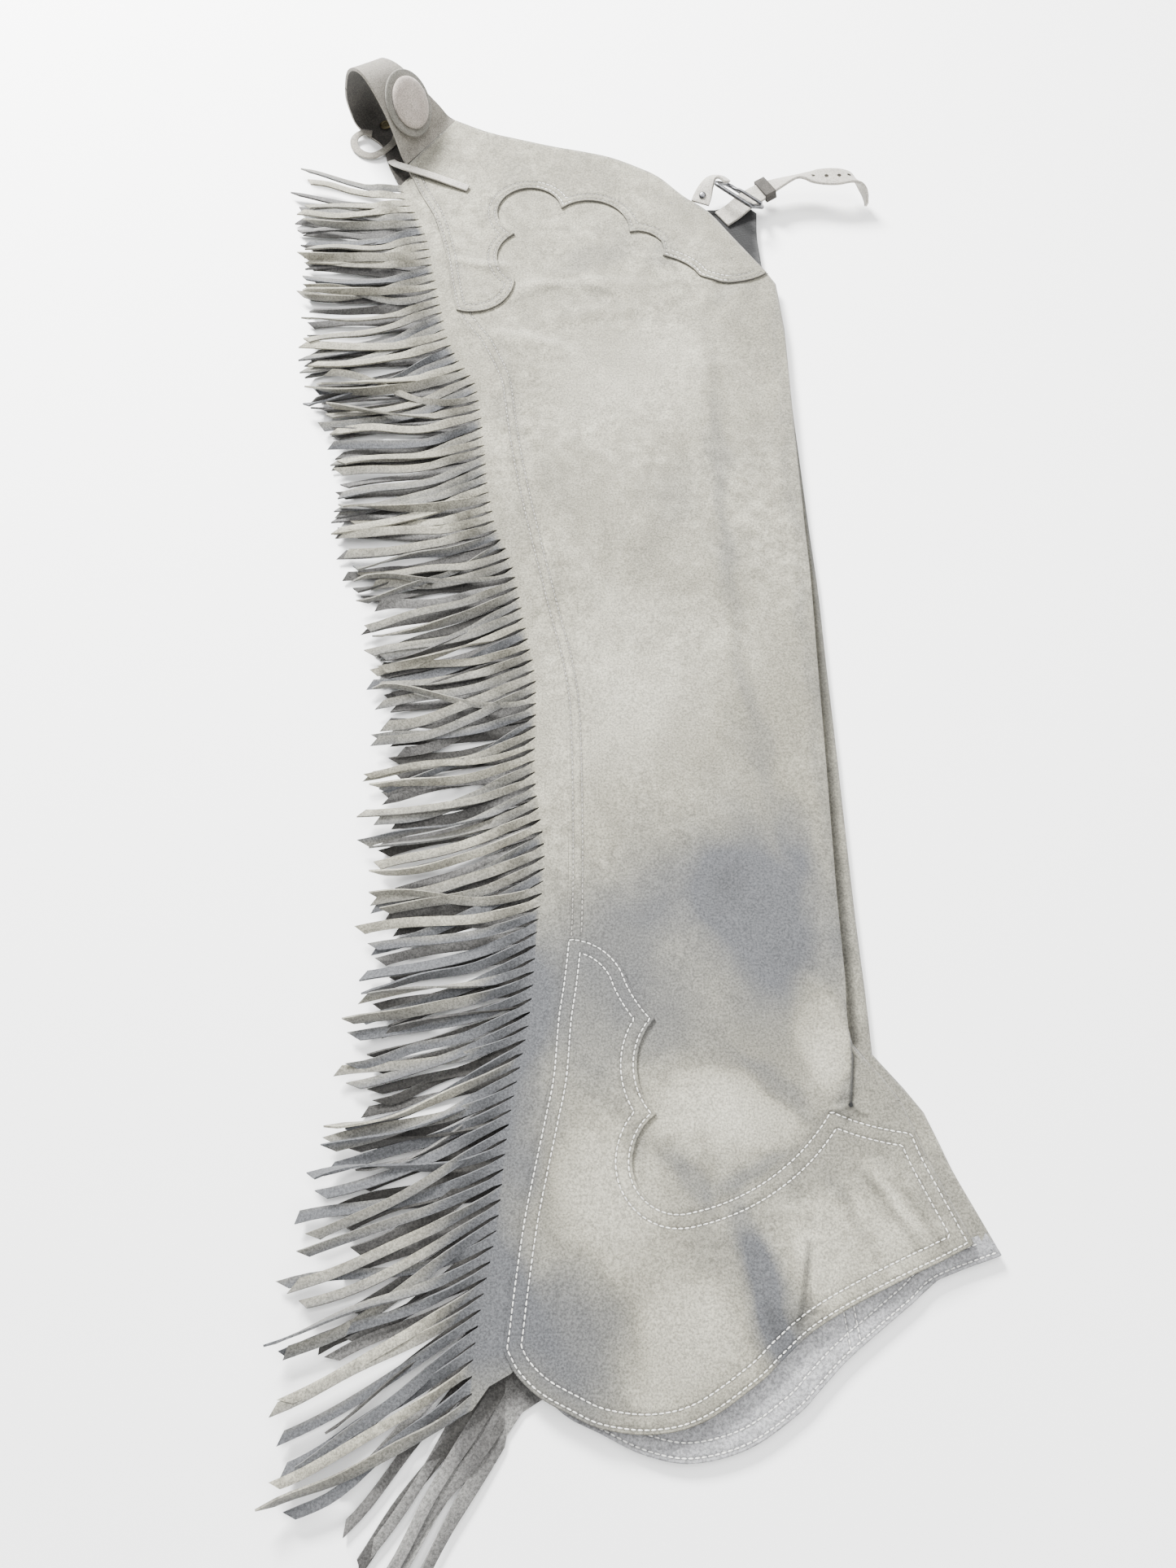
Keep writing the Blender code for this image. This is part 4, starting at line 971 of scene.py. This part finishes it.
def strand_sections(middle, drops, length, width, levels, pull, draw, stray, flat_root):
    """Pairs of edge points of a strand from its root to its cut tip.

    Lengths are drawn in mm and turns in degrees. About a quarter of the strands are twisted over.
    """
    root_drop, tip_drop = drops
    wave = draw.uniform(0.4, 2.6)
    phase = draw.uniform(0, math.tau)
    turns = draw.uniform(0.7, 1.6)
    curl = draw.uniform(-4, 4)
    lift = draw.uniform(0.2, 1.5)
    lift_phase = draw.uniform(0, math.tau)
    twist = math.radians(draw.uniform(-30, 30))
    root_bank = math.radians(draw.uniform(24, 46))
    if draw.random() < 0.26:
        twist = math.radians(draw.choice((-1, 1)) * draw.uniform(50, 165))
    if stray:
        pull += stray
        lift += 1.5
        twist += math.radians(55)
    slant = draw.uniform(2.0, 4.2) * draw.choice((-1, 1))
    root, rest, tip = levels
    pairs = []
    centre = middle.copy()
    for k in range(1, STRAND_SECTIONS + 1):
        t = k / STRAND_SECTIONS
        drop = tip_drop + (root_drop - tip_drop) * (1 - t) ** 2.2
        heading = Vector((-math.cos(drop), -math.sin(drop)))
        centre = centre + heading * length / STRAND_SECTIONS
        side = Vector((heading.y, -heading.x))
        soft = t * t * (3 - 2 * t)
        sideways = pull * STRAND_PITCH * soft + wave * math.sin(math.tau * turns * t + phase) * soft
        sideways += curl * t**3 - wave * math.sin(phase) * 0.3 * soft
        settled = ramp(t, 0.0, 0.3)
        z = root + (rest - root) * settled + (tip - rest) * max(0.0, 2 * t - 1)
        z += lift * settled * (0.5 + 0.5 * math.sin(math.tau * 1.3 * t + lift_phase))
        bank = twist * max(0.0, t - 0.12) / 0.88
        half = width / 2 * min(1.0, 0.72 + 1.2 * t)
        if flat_root:
            half = max(half, STRAND_PITCH / 2 * (1 - 0.35 * ramp(t, 0.25, 0.6)))
        else:
            bank += root_bank * math.sin(math.pi * min(1.0, t / 0.36))
        z += abs(math.sin(bank)) * half
        reach = heading * slant * (k == STRAND_SECTIONS)
        for sign in (1, -1):
            spot = centre + side * (sideways + sign * half * math.cos(bank)) + reach * sign
            pairs.append((spot.x, spot.y, float(z + sign * half * math.sin(bank))))
    return pairs


def strip_and_strands(seam_line, seam_z, roots_line, top, end, hang, levels, lies_under, strays):
    """The open skin of a fringe: its strip beside the seam and the strands cut from it."""
    draw = random.Random(CLUMP_SEED)
    run = spaced([(p[0], p[1]) for p in roots_line], 0.25)
    total = len(run)
    count = int(total * 0.25 / STRAND_PITCH)
    roots = []
    for k in range(count):
        for part in (k + 0.05, k + 0.95):
            roots.append(Vector(run[min(total - 1, round(part / count * total))]))
    edge = list(seam_line)
    loop = edge + top + roots + end
    edges = [(k, (k + 1) % len(loop)) for k in range(len(loop))]
    result = delaunay_2d_cdt([Vector(p[:2]) for p in loop], edges, [list(range(len(loop)))], 1, 1e-5)
    source = {k: min(given) for k, given in enumerate(result[3]) if given}
    faces = [tuple(source[k] for k in face) for face in result[2]]
    spots = [(p[0], p[1], seam_z if k < len(edge) else levels[0][0]) for k, p in enumerate(loop)]
    first = len(edge) + len(top)
    # The under leg's clumps start one strand later, so that they don't lie exactly under the upper ones
    plan = clump_plan(count, int(lies_under), draw)
    for k, (pull, layer) in enumerate(plan):
        upper = roots[2 * k]
        lower = roots[2 * k + 1]
        middle = (upper + lower) / 2
        root_drop, tip_drop, length = hang_at(hang, middle.y)
        tip_drop += math.radians(draw.uniform(-3.0, 3.0))
        length *= draw.uniform(0.92, 1.03)
        amount = 0.0
        width = STRAND_WIDTH * draw.uniform(0.84, 1.06)
        for stray in strays:
            if abs(middle.y - stray.y) < STRAND_PITCH / 2:
                amount = stray.pull
                width *= stray.width
        drops = (root_drop, tip_drop)
        pairs = strand_sections(middle, drops, length, width, levels[layer], pull, draw, amount, lies_under)
        previous = (first + 2 * k, first + 2 * k + 1)
        for j in range(0, len(pairs), 2):
            here = (len(spots), len(spots) + 1)
            spots += [pairs[j], pairs[j + 1]]
            faces.append((previous[0], here[0], here[1], previous[1]))
            previous = here
    painted_light_and_tone = shade_amount(*np.array(spots)[:, :2].T, SHADES)
    # Each strand's own random tone, and painted shade on the lower layers of its clump
    for k, (_, layer) in enumerate(plan):
        start = first + 2 * count + len(end) + k * STRAND_SECTIONS * 2
        painted_light_and_tone[start : start + STRAND_SECTIONS * 2] += draw.uniform(-0.4, 0.45) + 0.3 * layer
        # Painted shade: a strand's lower edge is painted darker
        painted_light_and_tone[start + 1 : start + STRAND_SECTIONS * 2 : 2] += 0.4
    # Painted light: the under leg's strands below the hem lie out of the upper leg's shade, so they are
    # painted lighter
    if lies_under:
        painted_light_and_tone -= 0.9 * (1 - ramp(np.array(spots)[:, 1], -130, -30))
    return spots, faces, painted_light_and_tone


def dress_fringe(node, leg_loop, seam_z, lay, hang, levels, finish, lies_under, strays):
    """Replaces a solid fringe by one with every strand cut, clumped and curled."""
    spots, outward = dense(leg_loop, 4.0)
    seam = []
    top_y = lay(STRIP_TOP)[0][1]
    end_y = lay(STRIP_END)[-1][1]
    for spot, out in zip(spots, outward):
        if out[0] < -0.3 and end_y < spot[1] < top_y:
            seam.append(Vector(spot + out * 0.05))
    seam.sort(key=lambda p: p.y)
    roots = lay(smooth_line(ROOT_LINE, 3.0))
    skin_spots, faces, painted_light_and_tone = strip_and_strands(
        seam, seam_z, roots, lay(STRIP_TOP), lay(STRIP_END), hang, levels, lies_under, strays
    )
    skin = walled(skin_spots, faces, FRINGE_THICK)
    skin.normal_update()
    item = show_mesh(node + "_strands", skin, [finish, strand_edge], [node], smooth=35)
    # Painted light and shade, and each strand's own tone; the wall has every place of the skin twice
    layer = item.data.attributes.new("painted_light_and_tone", "FLOAT", "POINT")
    layer.data.foreach_set("value", np.resize(painted_light_and_tone, len(item.data.vertices)).astype(np.float32))


# Belt, laces and straps


def belt_place(station, across):
    """Place on the belt's outer skin, with the station as a running number."""
    last = len(BELT_LOOP) - 1
    first = min(int(station), last - 1)
    rows = [BELT_LOOP[min(max(first + k, 0), last)] for k in (-1, 0, 1, 2)]
    row = [between(*values, station - first) for values in zip(*rows)]
    near = LOOP_CORNER + LOOP_RUN * row[0] + LOOP_ACROSS * row[1] + Vector((0, 0, row[2]))
    far = LOOP_CORNER + LOOP_RUN * row[3] + LOOP_ACROSS * row[4] + Vector((0, 0, row[5]))
    return near.lerp(far, across)


def ribbon_rows(turns, samples):
    """Places and half widths along a ribbon's smooth route."""
    rows = []
    last = len(turns) - 1
    for k in range(last * samples + 1):
        first = min(k // samples, last - 1)
        t = k / samples - first
        keys = [turns[min(max(first + shift, 0), last)] for shift in (-1, 0, 1, 2)]
        values = [between(*column, t) for column in zip(*keys)]
        ahead = [between(*column, t + 0.01) for column in zip(*keys)]
        heading = (Vector(ahead[:3]) - Vector(values[:3])).normalized()
        level = heading.cross(Vector((0, 0, 1))).normalized()
        bank = math.radians(values[4])
        across = level * math.cos(bank) + level.cross(heading) * math.sin(bank)
        rows.append((Vector(values[:3]), across * values[3] / 2))
    return rows


def grid_faces(rows, columns):
    """Faces of a grid whose places run row by row."""
    faces = []
    for row in range(rows):
        for column in range(columns):
            k = row * (columns + 1) + column
            faces.append((k, k + 1, k + columns + 2, k + columns + 1))
    return faces


def ribbon_skin(turns, samples, columns, thickness):
    """A flat strap or lace as a wall, with its route."""
    spots = []
    route = []
    for middle, half in ribbon_rows(turns, samples):
        route.append(tuple(place(*middle)))
        for column in range(columns + 1):
            spots.append(tuple(middle + half * (2 * column / columns - 1)))
    faces = [face[::-1] for face in grid_faces(len(route) - 1, columns)]
    return walled(spots, faces, thickness, both_sides=True), route


def soften(skin, width):
    """Rounds the sharp edges of a piece."""
    skin.normal_update()
    sharp = [e for e in skin.edges if len(e.link_faces) == 2 and e.calc_face_angle(0) > math.radians(50)]
    bmesh.ops.bevel(
        skin, geom=sharp, offset=width, segments=2, profile=0.5, affect="EDGES", clamp_overlap=True
    )


def disc_frame(node):
    """Middle, axis, radius and thickness of a round node that lies on its own axis."""
    spots = np.array([(v.co / MM - SHIFT)[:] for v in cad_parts[node].data.vertices])
    spots = np.unique(spots.round(3), axis=0)
    centre = (spots.min(axis=0) + spots.max(axis=0)) / 2
    values, axes = np.linalg.eigh(np.cov((spots - spots.mean(axis=0)).T))
    axis = axes[:, 0] * np.sign(axes[2, 0] or 1)
    along = (spots - spots.mean(axis=0)) @ axis
    flat = (spots - spots.mean(axis=0)) - np.outer(along, axis)
    radius = np.linalg.norm(flat, axis=1).max()
    base = spots.mean(axis=0) + axis * along.min()
    return Vector(base), Vector(axis), float(radius), float(along.max() - along.min())


def turned(profile, steps, base, axis):
    """A round piece from its profile of radius and height above its base, closed at both ends."""
    skin = bmesh.new()
    turn = axis.to_track_quat("Z", "Y").to_matrix()
    rings = []
    for radius, height in profile:
        ring = []
        for k in range(steps):
            angle = math.tau * k / steps
            flat = Vector((radius * math.cos(angle), radius * math.sin(angle), height))
            ring.append(skin.verts.new(base + turn @ flat))
        rings.append(ring)
    for low_ring, high_ring in zip(rings, rings[1:]):
        for k in range(steps):
            n = (k + 1) % steps
            skin.faces.new((low_ring[k], low_ring[n], high_ring[n], high_ring[k]))
    skin.faces.new(rings[0][::-1])
    skin.faces.new(rings[-1])
    return skin


def bend_wire(node, points, radius, closed):
    """Replaces a solid of the buckle by a round nickel wire through the given places."""
    name = node + "_nickel"
    curve = bpy.data.curves.new(name, "CURVE")
    curve.dimensions = "3D"
    curve.bevel_depth = radius * MM
    curve.bevel_resolution = 6
    curve.use_fill_caps = True
    spline = curve.splines.new("POLY")
    spline.points.add(len(points) - 1)
    for target, spot in zip(spline.points, points):
        target.co = (*place(*spot), 1.0)
    spline.use_cyclic_u = closed
    curve.materials.append(nickel)
    item = put_in_scene(name, curve)
    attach(item, BODY)
    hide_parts(node)


# The camera


camera = put_in_scene("photo_camera", bpy.data.cameras.new("photo_camera"))
camera.data.sensor_width = SENSOR
camera.data.lens = SENSOR * FOCAL_PIXELS / PHOTO_HEIGHT
camera.location = place(0, 0, CAMERA_HEIGHT)
camera.rotation_euler = (CAMERA_TILT, 0, 0)
camera.data.clip_start = 0.01
bpy.context.scene.camera = camera


# The legs and their overlays


def on_back_seam(x, y, out_x, out_y):
    """The seam under the fringe, between the yoke and the trim."""
    return out_x < -0.5 and 186 < y < 680


def on_hem(x, y, out_x, out_y):
    """The hem's edge."""
    return out_y < -0.1 and y < 60


def on_waist(x, y, out_x, out_y):
    """The waist and the front slope, cut in one with the leg and not sewn."""
    return y > 700 and out_y > 0.3 and (y > 795 or x > 95)


def is_pale(x, y, out_x, out_y):
    """The parts of the yoke's scallops where the thread shows pale."""
    return out_y < -0.2 and (54 < x < 112 and y < 745 or -42 < x < -12 and y > 770)


def is_grey(x, y, out_x, out_y):
    """The rest of the yoke's sewn edge."""
    return not is_pale(x, y, out_x, out_y) and not on_waist(x, y, out_x, out_y)


trim_rows = [Row(2.2, "pale", None), Row(9.6, "pale", None)]
yoke_rows = [
    Row(distance, thread, keep)
    for distance in (2.2, 7.0) for thread, keep in (("grey", is_grey), ("pale", is_pale))
]
seam_rows = [Row(3.2, "grey", on_back_seam), Row(9.2, "grey", on_back_seam)]
hem_rows = [Row(2.4, "pale", on_hem), Row(9.8, "pale", on_hem)]
# The short double seam inside the left leg's hem
hem_lines = ([(141.7, -27.6), (144.2, -46.1)], [(147.5, -25), (150, -43)])
hem_seams = [("pale", [spaced(line, 0.8) for line in hem_lines])]


def upper_layer(spots):
    """1 on the upper layer of the upper leg, 0 on its lower one."""
    return ramp(spots[:, 2], 6.4, 8.2)


def whole_piece(spots):
    """The overlays follow the leg all through."""
    return np.ones(len(spots))


upper_painted_light = (SHADES, CREASES)
under_painted_light = (INSIDE_SHADES, INSIDE_CREASES)
overlay = [suede, dark_edge]
right_leg, right_loop = dress_panel(
    "right_leg", [suede, cut_edge], 1, UPPER_LEG_SKIN, seam_rows, SKIN_STEP, upper_painted_light, upper_layer
)
right_yoke, _ = dress_panel(
    "right_yoke", overlay, 1, OVERLAY_SKIN, yoke_rows, SKIN_STEP, upper_painted_light, whole_piece, edged=True
)
right_trim, _ = dress_panel(
    "right_trim", overlay, 1, OVERLAY_SKIN, trim_rows, SKIN_STEP, upper_painted_light, whole_piece, edged=True
)
left_leg, left_loop = dress_panel(
    "left_leg", [suede, cut_edge, flesh_side], 1, UNDER_LEG_SKIN, hem_rows, INSIDE_STEP, under_painted_light,
    seams=hem_seams,
)
left_yoke, _ = dress_panel("left_yoke", overlay, -1, UNDERSIDE_SKIN, yoke_rows, UNDERSIDE_STEP, under_painted_light)
left_trim, _ = dress_panel("left_trim", overlay, -1, UNDERSIDE_SKIN, trim_rows, UNDERSIDE_STEP, under_painted_light)


def upper_place(points):
    """The upper fringe keeps the layout as drawn."""
    return [Vector((p[0], p[1])) for p in points]


# Heights of a strand's root, middle and tip, for each layer of a clump
UPPER_LEVELS = [(9.0, 9.6, 8.4), (9.0, 7.8, 6.8), (9.0, 6.0, 5.6)]
UNDER_LEVELS = [(1.9, 3.9, 3.6), (1.9, 2.6, 2.4), (1.9, 1.6, 1.5)]
# Strands that cross their neighbours: place along the leg, pull in pitches, share of the usual width
UPPER_STRAYS = [
    Stray(603, 3.4, 0.9), Stray(646, -2.6, 0.9), Stray(448, 2.8, 0.6), Stray(470, -2.2, 0.6),
    Stray(352, 2.8, 0.8), Stray(330, -2.8, 0.6), Stray(318, 2.2, 0.6), Stray(700, 2.2, 1),
    Stray(744, -1.8, 1), Stray(120, -1.8, 0.8),
]
UNDER_STRAYS = [Stray(66, -0.8, 1.8), Stray(12, 1.8, 1), Stray(300, 1.6, 1), Stray(520, -1.9, 1)]
dress_fringe(
    "right_fringe", right_loop, UPPER_LEG_EDGE, upper_place, UPPER_HANG, UPPER_LEVELS, suede,
    False, UPPER_STRAYS,
)
dress_fringe(
    "left_fringe", left_loop, UNDER_LEG_EDGE, under, UNDER_HANG, UNDER_LEVELS, under_strand,
    True, UNDER_STRAYS,
)


# The back belt, its button and its lace

belt_rows = (len(BELT_LOOP) - 1) * BELT_SAMPLES
belt_spots = [
    tuple(belt_place(row / BELT_SAMPLES, column / BELT_COLUMNS))
    for row in range(belt_rows + 1) for column in range(BELT_COLUMNS + 1)
]
belt_faces = grid_faces(belt_rows, BELT_COLUMNS)
belt_skin = walled(belt_spots, belt_faces, BELT_THICK)
outer_skin = BVHTree.FromPolygons(belt_spots, belt_faces)
# Painted shade: the belt's inner skin takes the darker third finish, for the shade inside the loop
for face in belt_skin.faces:
    if face.material_index == 0 and outer_skin.find_nearest(face.calc_center_median())[3] > BELT_THICK / 2:
        face.material_index = 2
back_belt = show_mesh(
    "back_belt_suede", belt_skin, [belt_suede, cut_edge, shaded_lining], ["back_belt"]
)

base, axis, radius, thickness = disc_frame("concho_washer")
washer = turned(
    [(radius - 1.0, 0), (radius - 0.2, 0.3), (radius, 0.9), (radius - 0.2, thickness - 0.3),
     (radius - 1.0, thickness)], 72, base, axis,
)
show_mesh("concho_washer_suede", washer, [washer_suede], ["concho_washer"], 60)

base, axis, radius, thickness = disc_frame("concho")
dome = [(radius - 1.3, 0), (radius - 0.3, 0.5)]
for step in range(13):
    angle = math.pi / 2 * step / 12 * 0.98
    dome.append((radius * math.cos(angle) ** 0.4, 1.3 + (thickness - 1.3) * math.sin(angle)))
show_mesh("concho_suede", turned(dome, 72, base, axis), [cover], ["concho"], 60)

base, axis, radius, thickness = disc_frame("belt_eyelet")
ring = [(radius - 0.2, 0), (radius, 0.3), (radius - 0.5, thickness * 0.8), (radius - 1.2, thickness)]
ring += [(radius * 0.6, thickness), (radius * 0.5, thickness * 0.7), (radius * 0.44, thickness * 0.2)]
eyelet_skin = turned(ring, 40, base, axis)
# Painted shadow: the eyelet's inner floor takes the near black finish of a hole
for face in eyelet_skin.faces:
    face.material_index = 1 if len(face.verts) > 4 and face.normal.z > 0 else 0
show_mesh("belt_eyelet_brass", eyelet_skin, [brass, hole_shadow], ["belt_eyelet"])

lace_pieces = (("lace_loop", LACE_LOOP, belt_suede), ("lace_tail", LACE_TAIL, lace_suede))
for node, turns, finish in lace_pieces:
    lace_skin, route = ribbon_skin(turns, 6, 2, LACE_THICK)
    soften(lace_skin, 0.3)
    lace = show_mesh(node + "_suede", lace_skin, [finish, cut_edge], [node])


# The front strap and its buckle

front = {}
for node, turns, columns in (("front_tab", FRONT_TAB, 4), ("front_strap", FRONT_STRAP, 6)):
    strap_skin, _ = ribbon_skin(turns, 6, columns, STRAP_THICK)
    soften(strap_skin, 0.4)
    front[node] = show_mesh(node + "_suede", strap_skin, [lace_suede, cut_edge], [node])

# Punched holes: a near black disc of painted shadow, with a low rim on the strap's skin
strap_tree = BVHTree.FromObject(front["front_strap"], bpy.context.evaluated_depsgraph_get())
HOLE_RIM = HOLE_RADIUS * 1.15
hole_profile = [(HOLE_RIM, -0.3), (HOLE_RIM, 0.0), (HOLE_RADIUS, 0.08), (HOLE_RADIUS * 0.2, 0.02)]
holes = bmesh.new()
for x, y in STRAP_HOLES:
    hit, facing, _, _ = strap_tree.ray_cast(place(x, y, 60), Vector((0, 0, -1)))
    hole = turned(hole_profile, 20, hit / MM - SHIFT, facing)
    part = bpy.data.meshes.new("hole")
    hole.to_mesh(part)
    holes.from_mesh(part)
    hole.free()
show_mesh("front_strap_holes", holes, [hole_shadow])

half_length = BUCKLE_LENGTH / 2
half_width = BUCKLE_WIDTH / 2
frame_points = []
for sx, sy, start in ((1, 1, 0), (-1, 1, 90), (-1, -1, 180), (1, -1, 270)):
    for step in range(9):
        angle = math.radians(start + 90 * step / 8)
        along = sx * (half_length - BUCKLE_CORNER) + BUCKLE_CORNER * math.cos(angle)
        aside = sy * (half_width - BUCKLE_CORNER) + BUCKLE_CORNER * math.sin(angle)
        frame_points.append(BUCKLE_CENTRE + BELT_HEADING * along + BELT_ACROSS * aside)
bend_wire("buckle_frame", frame_points, BUCKLE_WIRE, True)
normal = BELT_HEADING.cross(BELT_ACROSS).normalized()
normal = normal if normal.z > 0 else -normal
# The tongue rises from the strap over the frame's far side: along the strap, and its rise
tongue_lift = BUCKLE_WIRE * 2 + 0.3
tongue_rises = ((-8, 0.0), (-5, 0.2), (-2, 0.8), (2, 1.5), (6, 2.0), (12, 1.7), (half_length + 2.0, 1.0))
tongue_points = []
for along, rise in tongue_rises:
    lift = tongue_lift * min(1.0, 0.55 + rise / 2.2)
    tongue_points.append(BUCKLE_CENTRE + BELT_HEADING * along + normal * lift)
bend_wire("buckle_tongue", tongue_points, BUCKLE_WIRE * 0.8, False)

keeper_skin = copied_skin("front_keeper")
soften(keeper_skin, 0.35)
# Painted shade: the keeper takes the belt's darker inner finish, for the shade it lies in
show_mesh("front_keeper_suede", keeper_skin, [shaded_lining], ["front_keeper"])

base, axis, radius, thickness = disc_frame("tab_rivet")
rivet = [(radius - 0.3, 0), (radius, 0.3), (radius * 0.92, thickness * 0.55)]
rivet += [(radius * 0.66, thickness * 0.88), (radius * 0.3, thickness)]
show_mesh("tab_rivet_nickel", turned(rivet, 32, base, axis), [nickel], ["tab_rivet"])


# Floor and light

# The floor's half width, and how far it lies below the part, in metres
FLOOR_HALF = 6.0
FLOOR_DROP = 0.0006
floor_mesh = bpy.data.meshes.new("pale_floor")
signs = ((-1, -1), (1, -1), (1, 1), (-1, 1))
floor_mesh.from_pydata([(x * FLOOR_HALF, y * FLOOR_HALF, -FLOOR_DROP) for x, y in signs], [], [(0, 1, 2, 3)])
floor = put_in_scene("pale_floor", floor_mesh)
floor_paper, _, floor_shader = new_finish("matt_white_paper")
floor_shader.inputs["Base Color"].default_value = linear("#f4f4f3")
floor_shader.inputs["Roughness"].default_value = 0.9
floor_mesh.materials.append(floor_paper)

# Place and size in metres, and power in watts
for name, spot, size, power in (
    ("window", (-0.85, 1.5, 1.3), 0.6, 250.0),
    ("ceiling", (0.2, 0.3, 2.3), 2.4, 110.0),
    ("fill", (1.3, -1.5, 1.3), 1.2, 34.0),
):
    lamp = bpy.data.lights.new(name, "AREA")
    lamp.size = size
    lamp.energy = power
    holder = put_in_scene(name, lamp)
    holder.location = spot
    holder.rotation_euler = (-Vector(spot)).to_track_quat("-Z", "Y").to_euler()

world = bpy.data.worlds.new("soft_room")
world.use_nodes = True
world.node_tree.nodes["Background"].inputs["Color"].default_value = linear("#eef0f3")
world.node_tree.nodes["Background"].inputs["Strength"].default_value = 0.6
bpy.context.scene.world = world
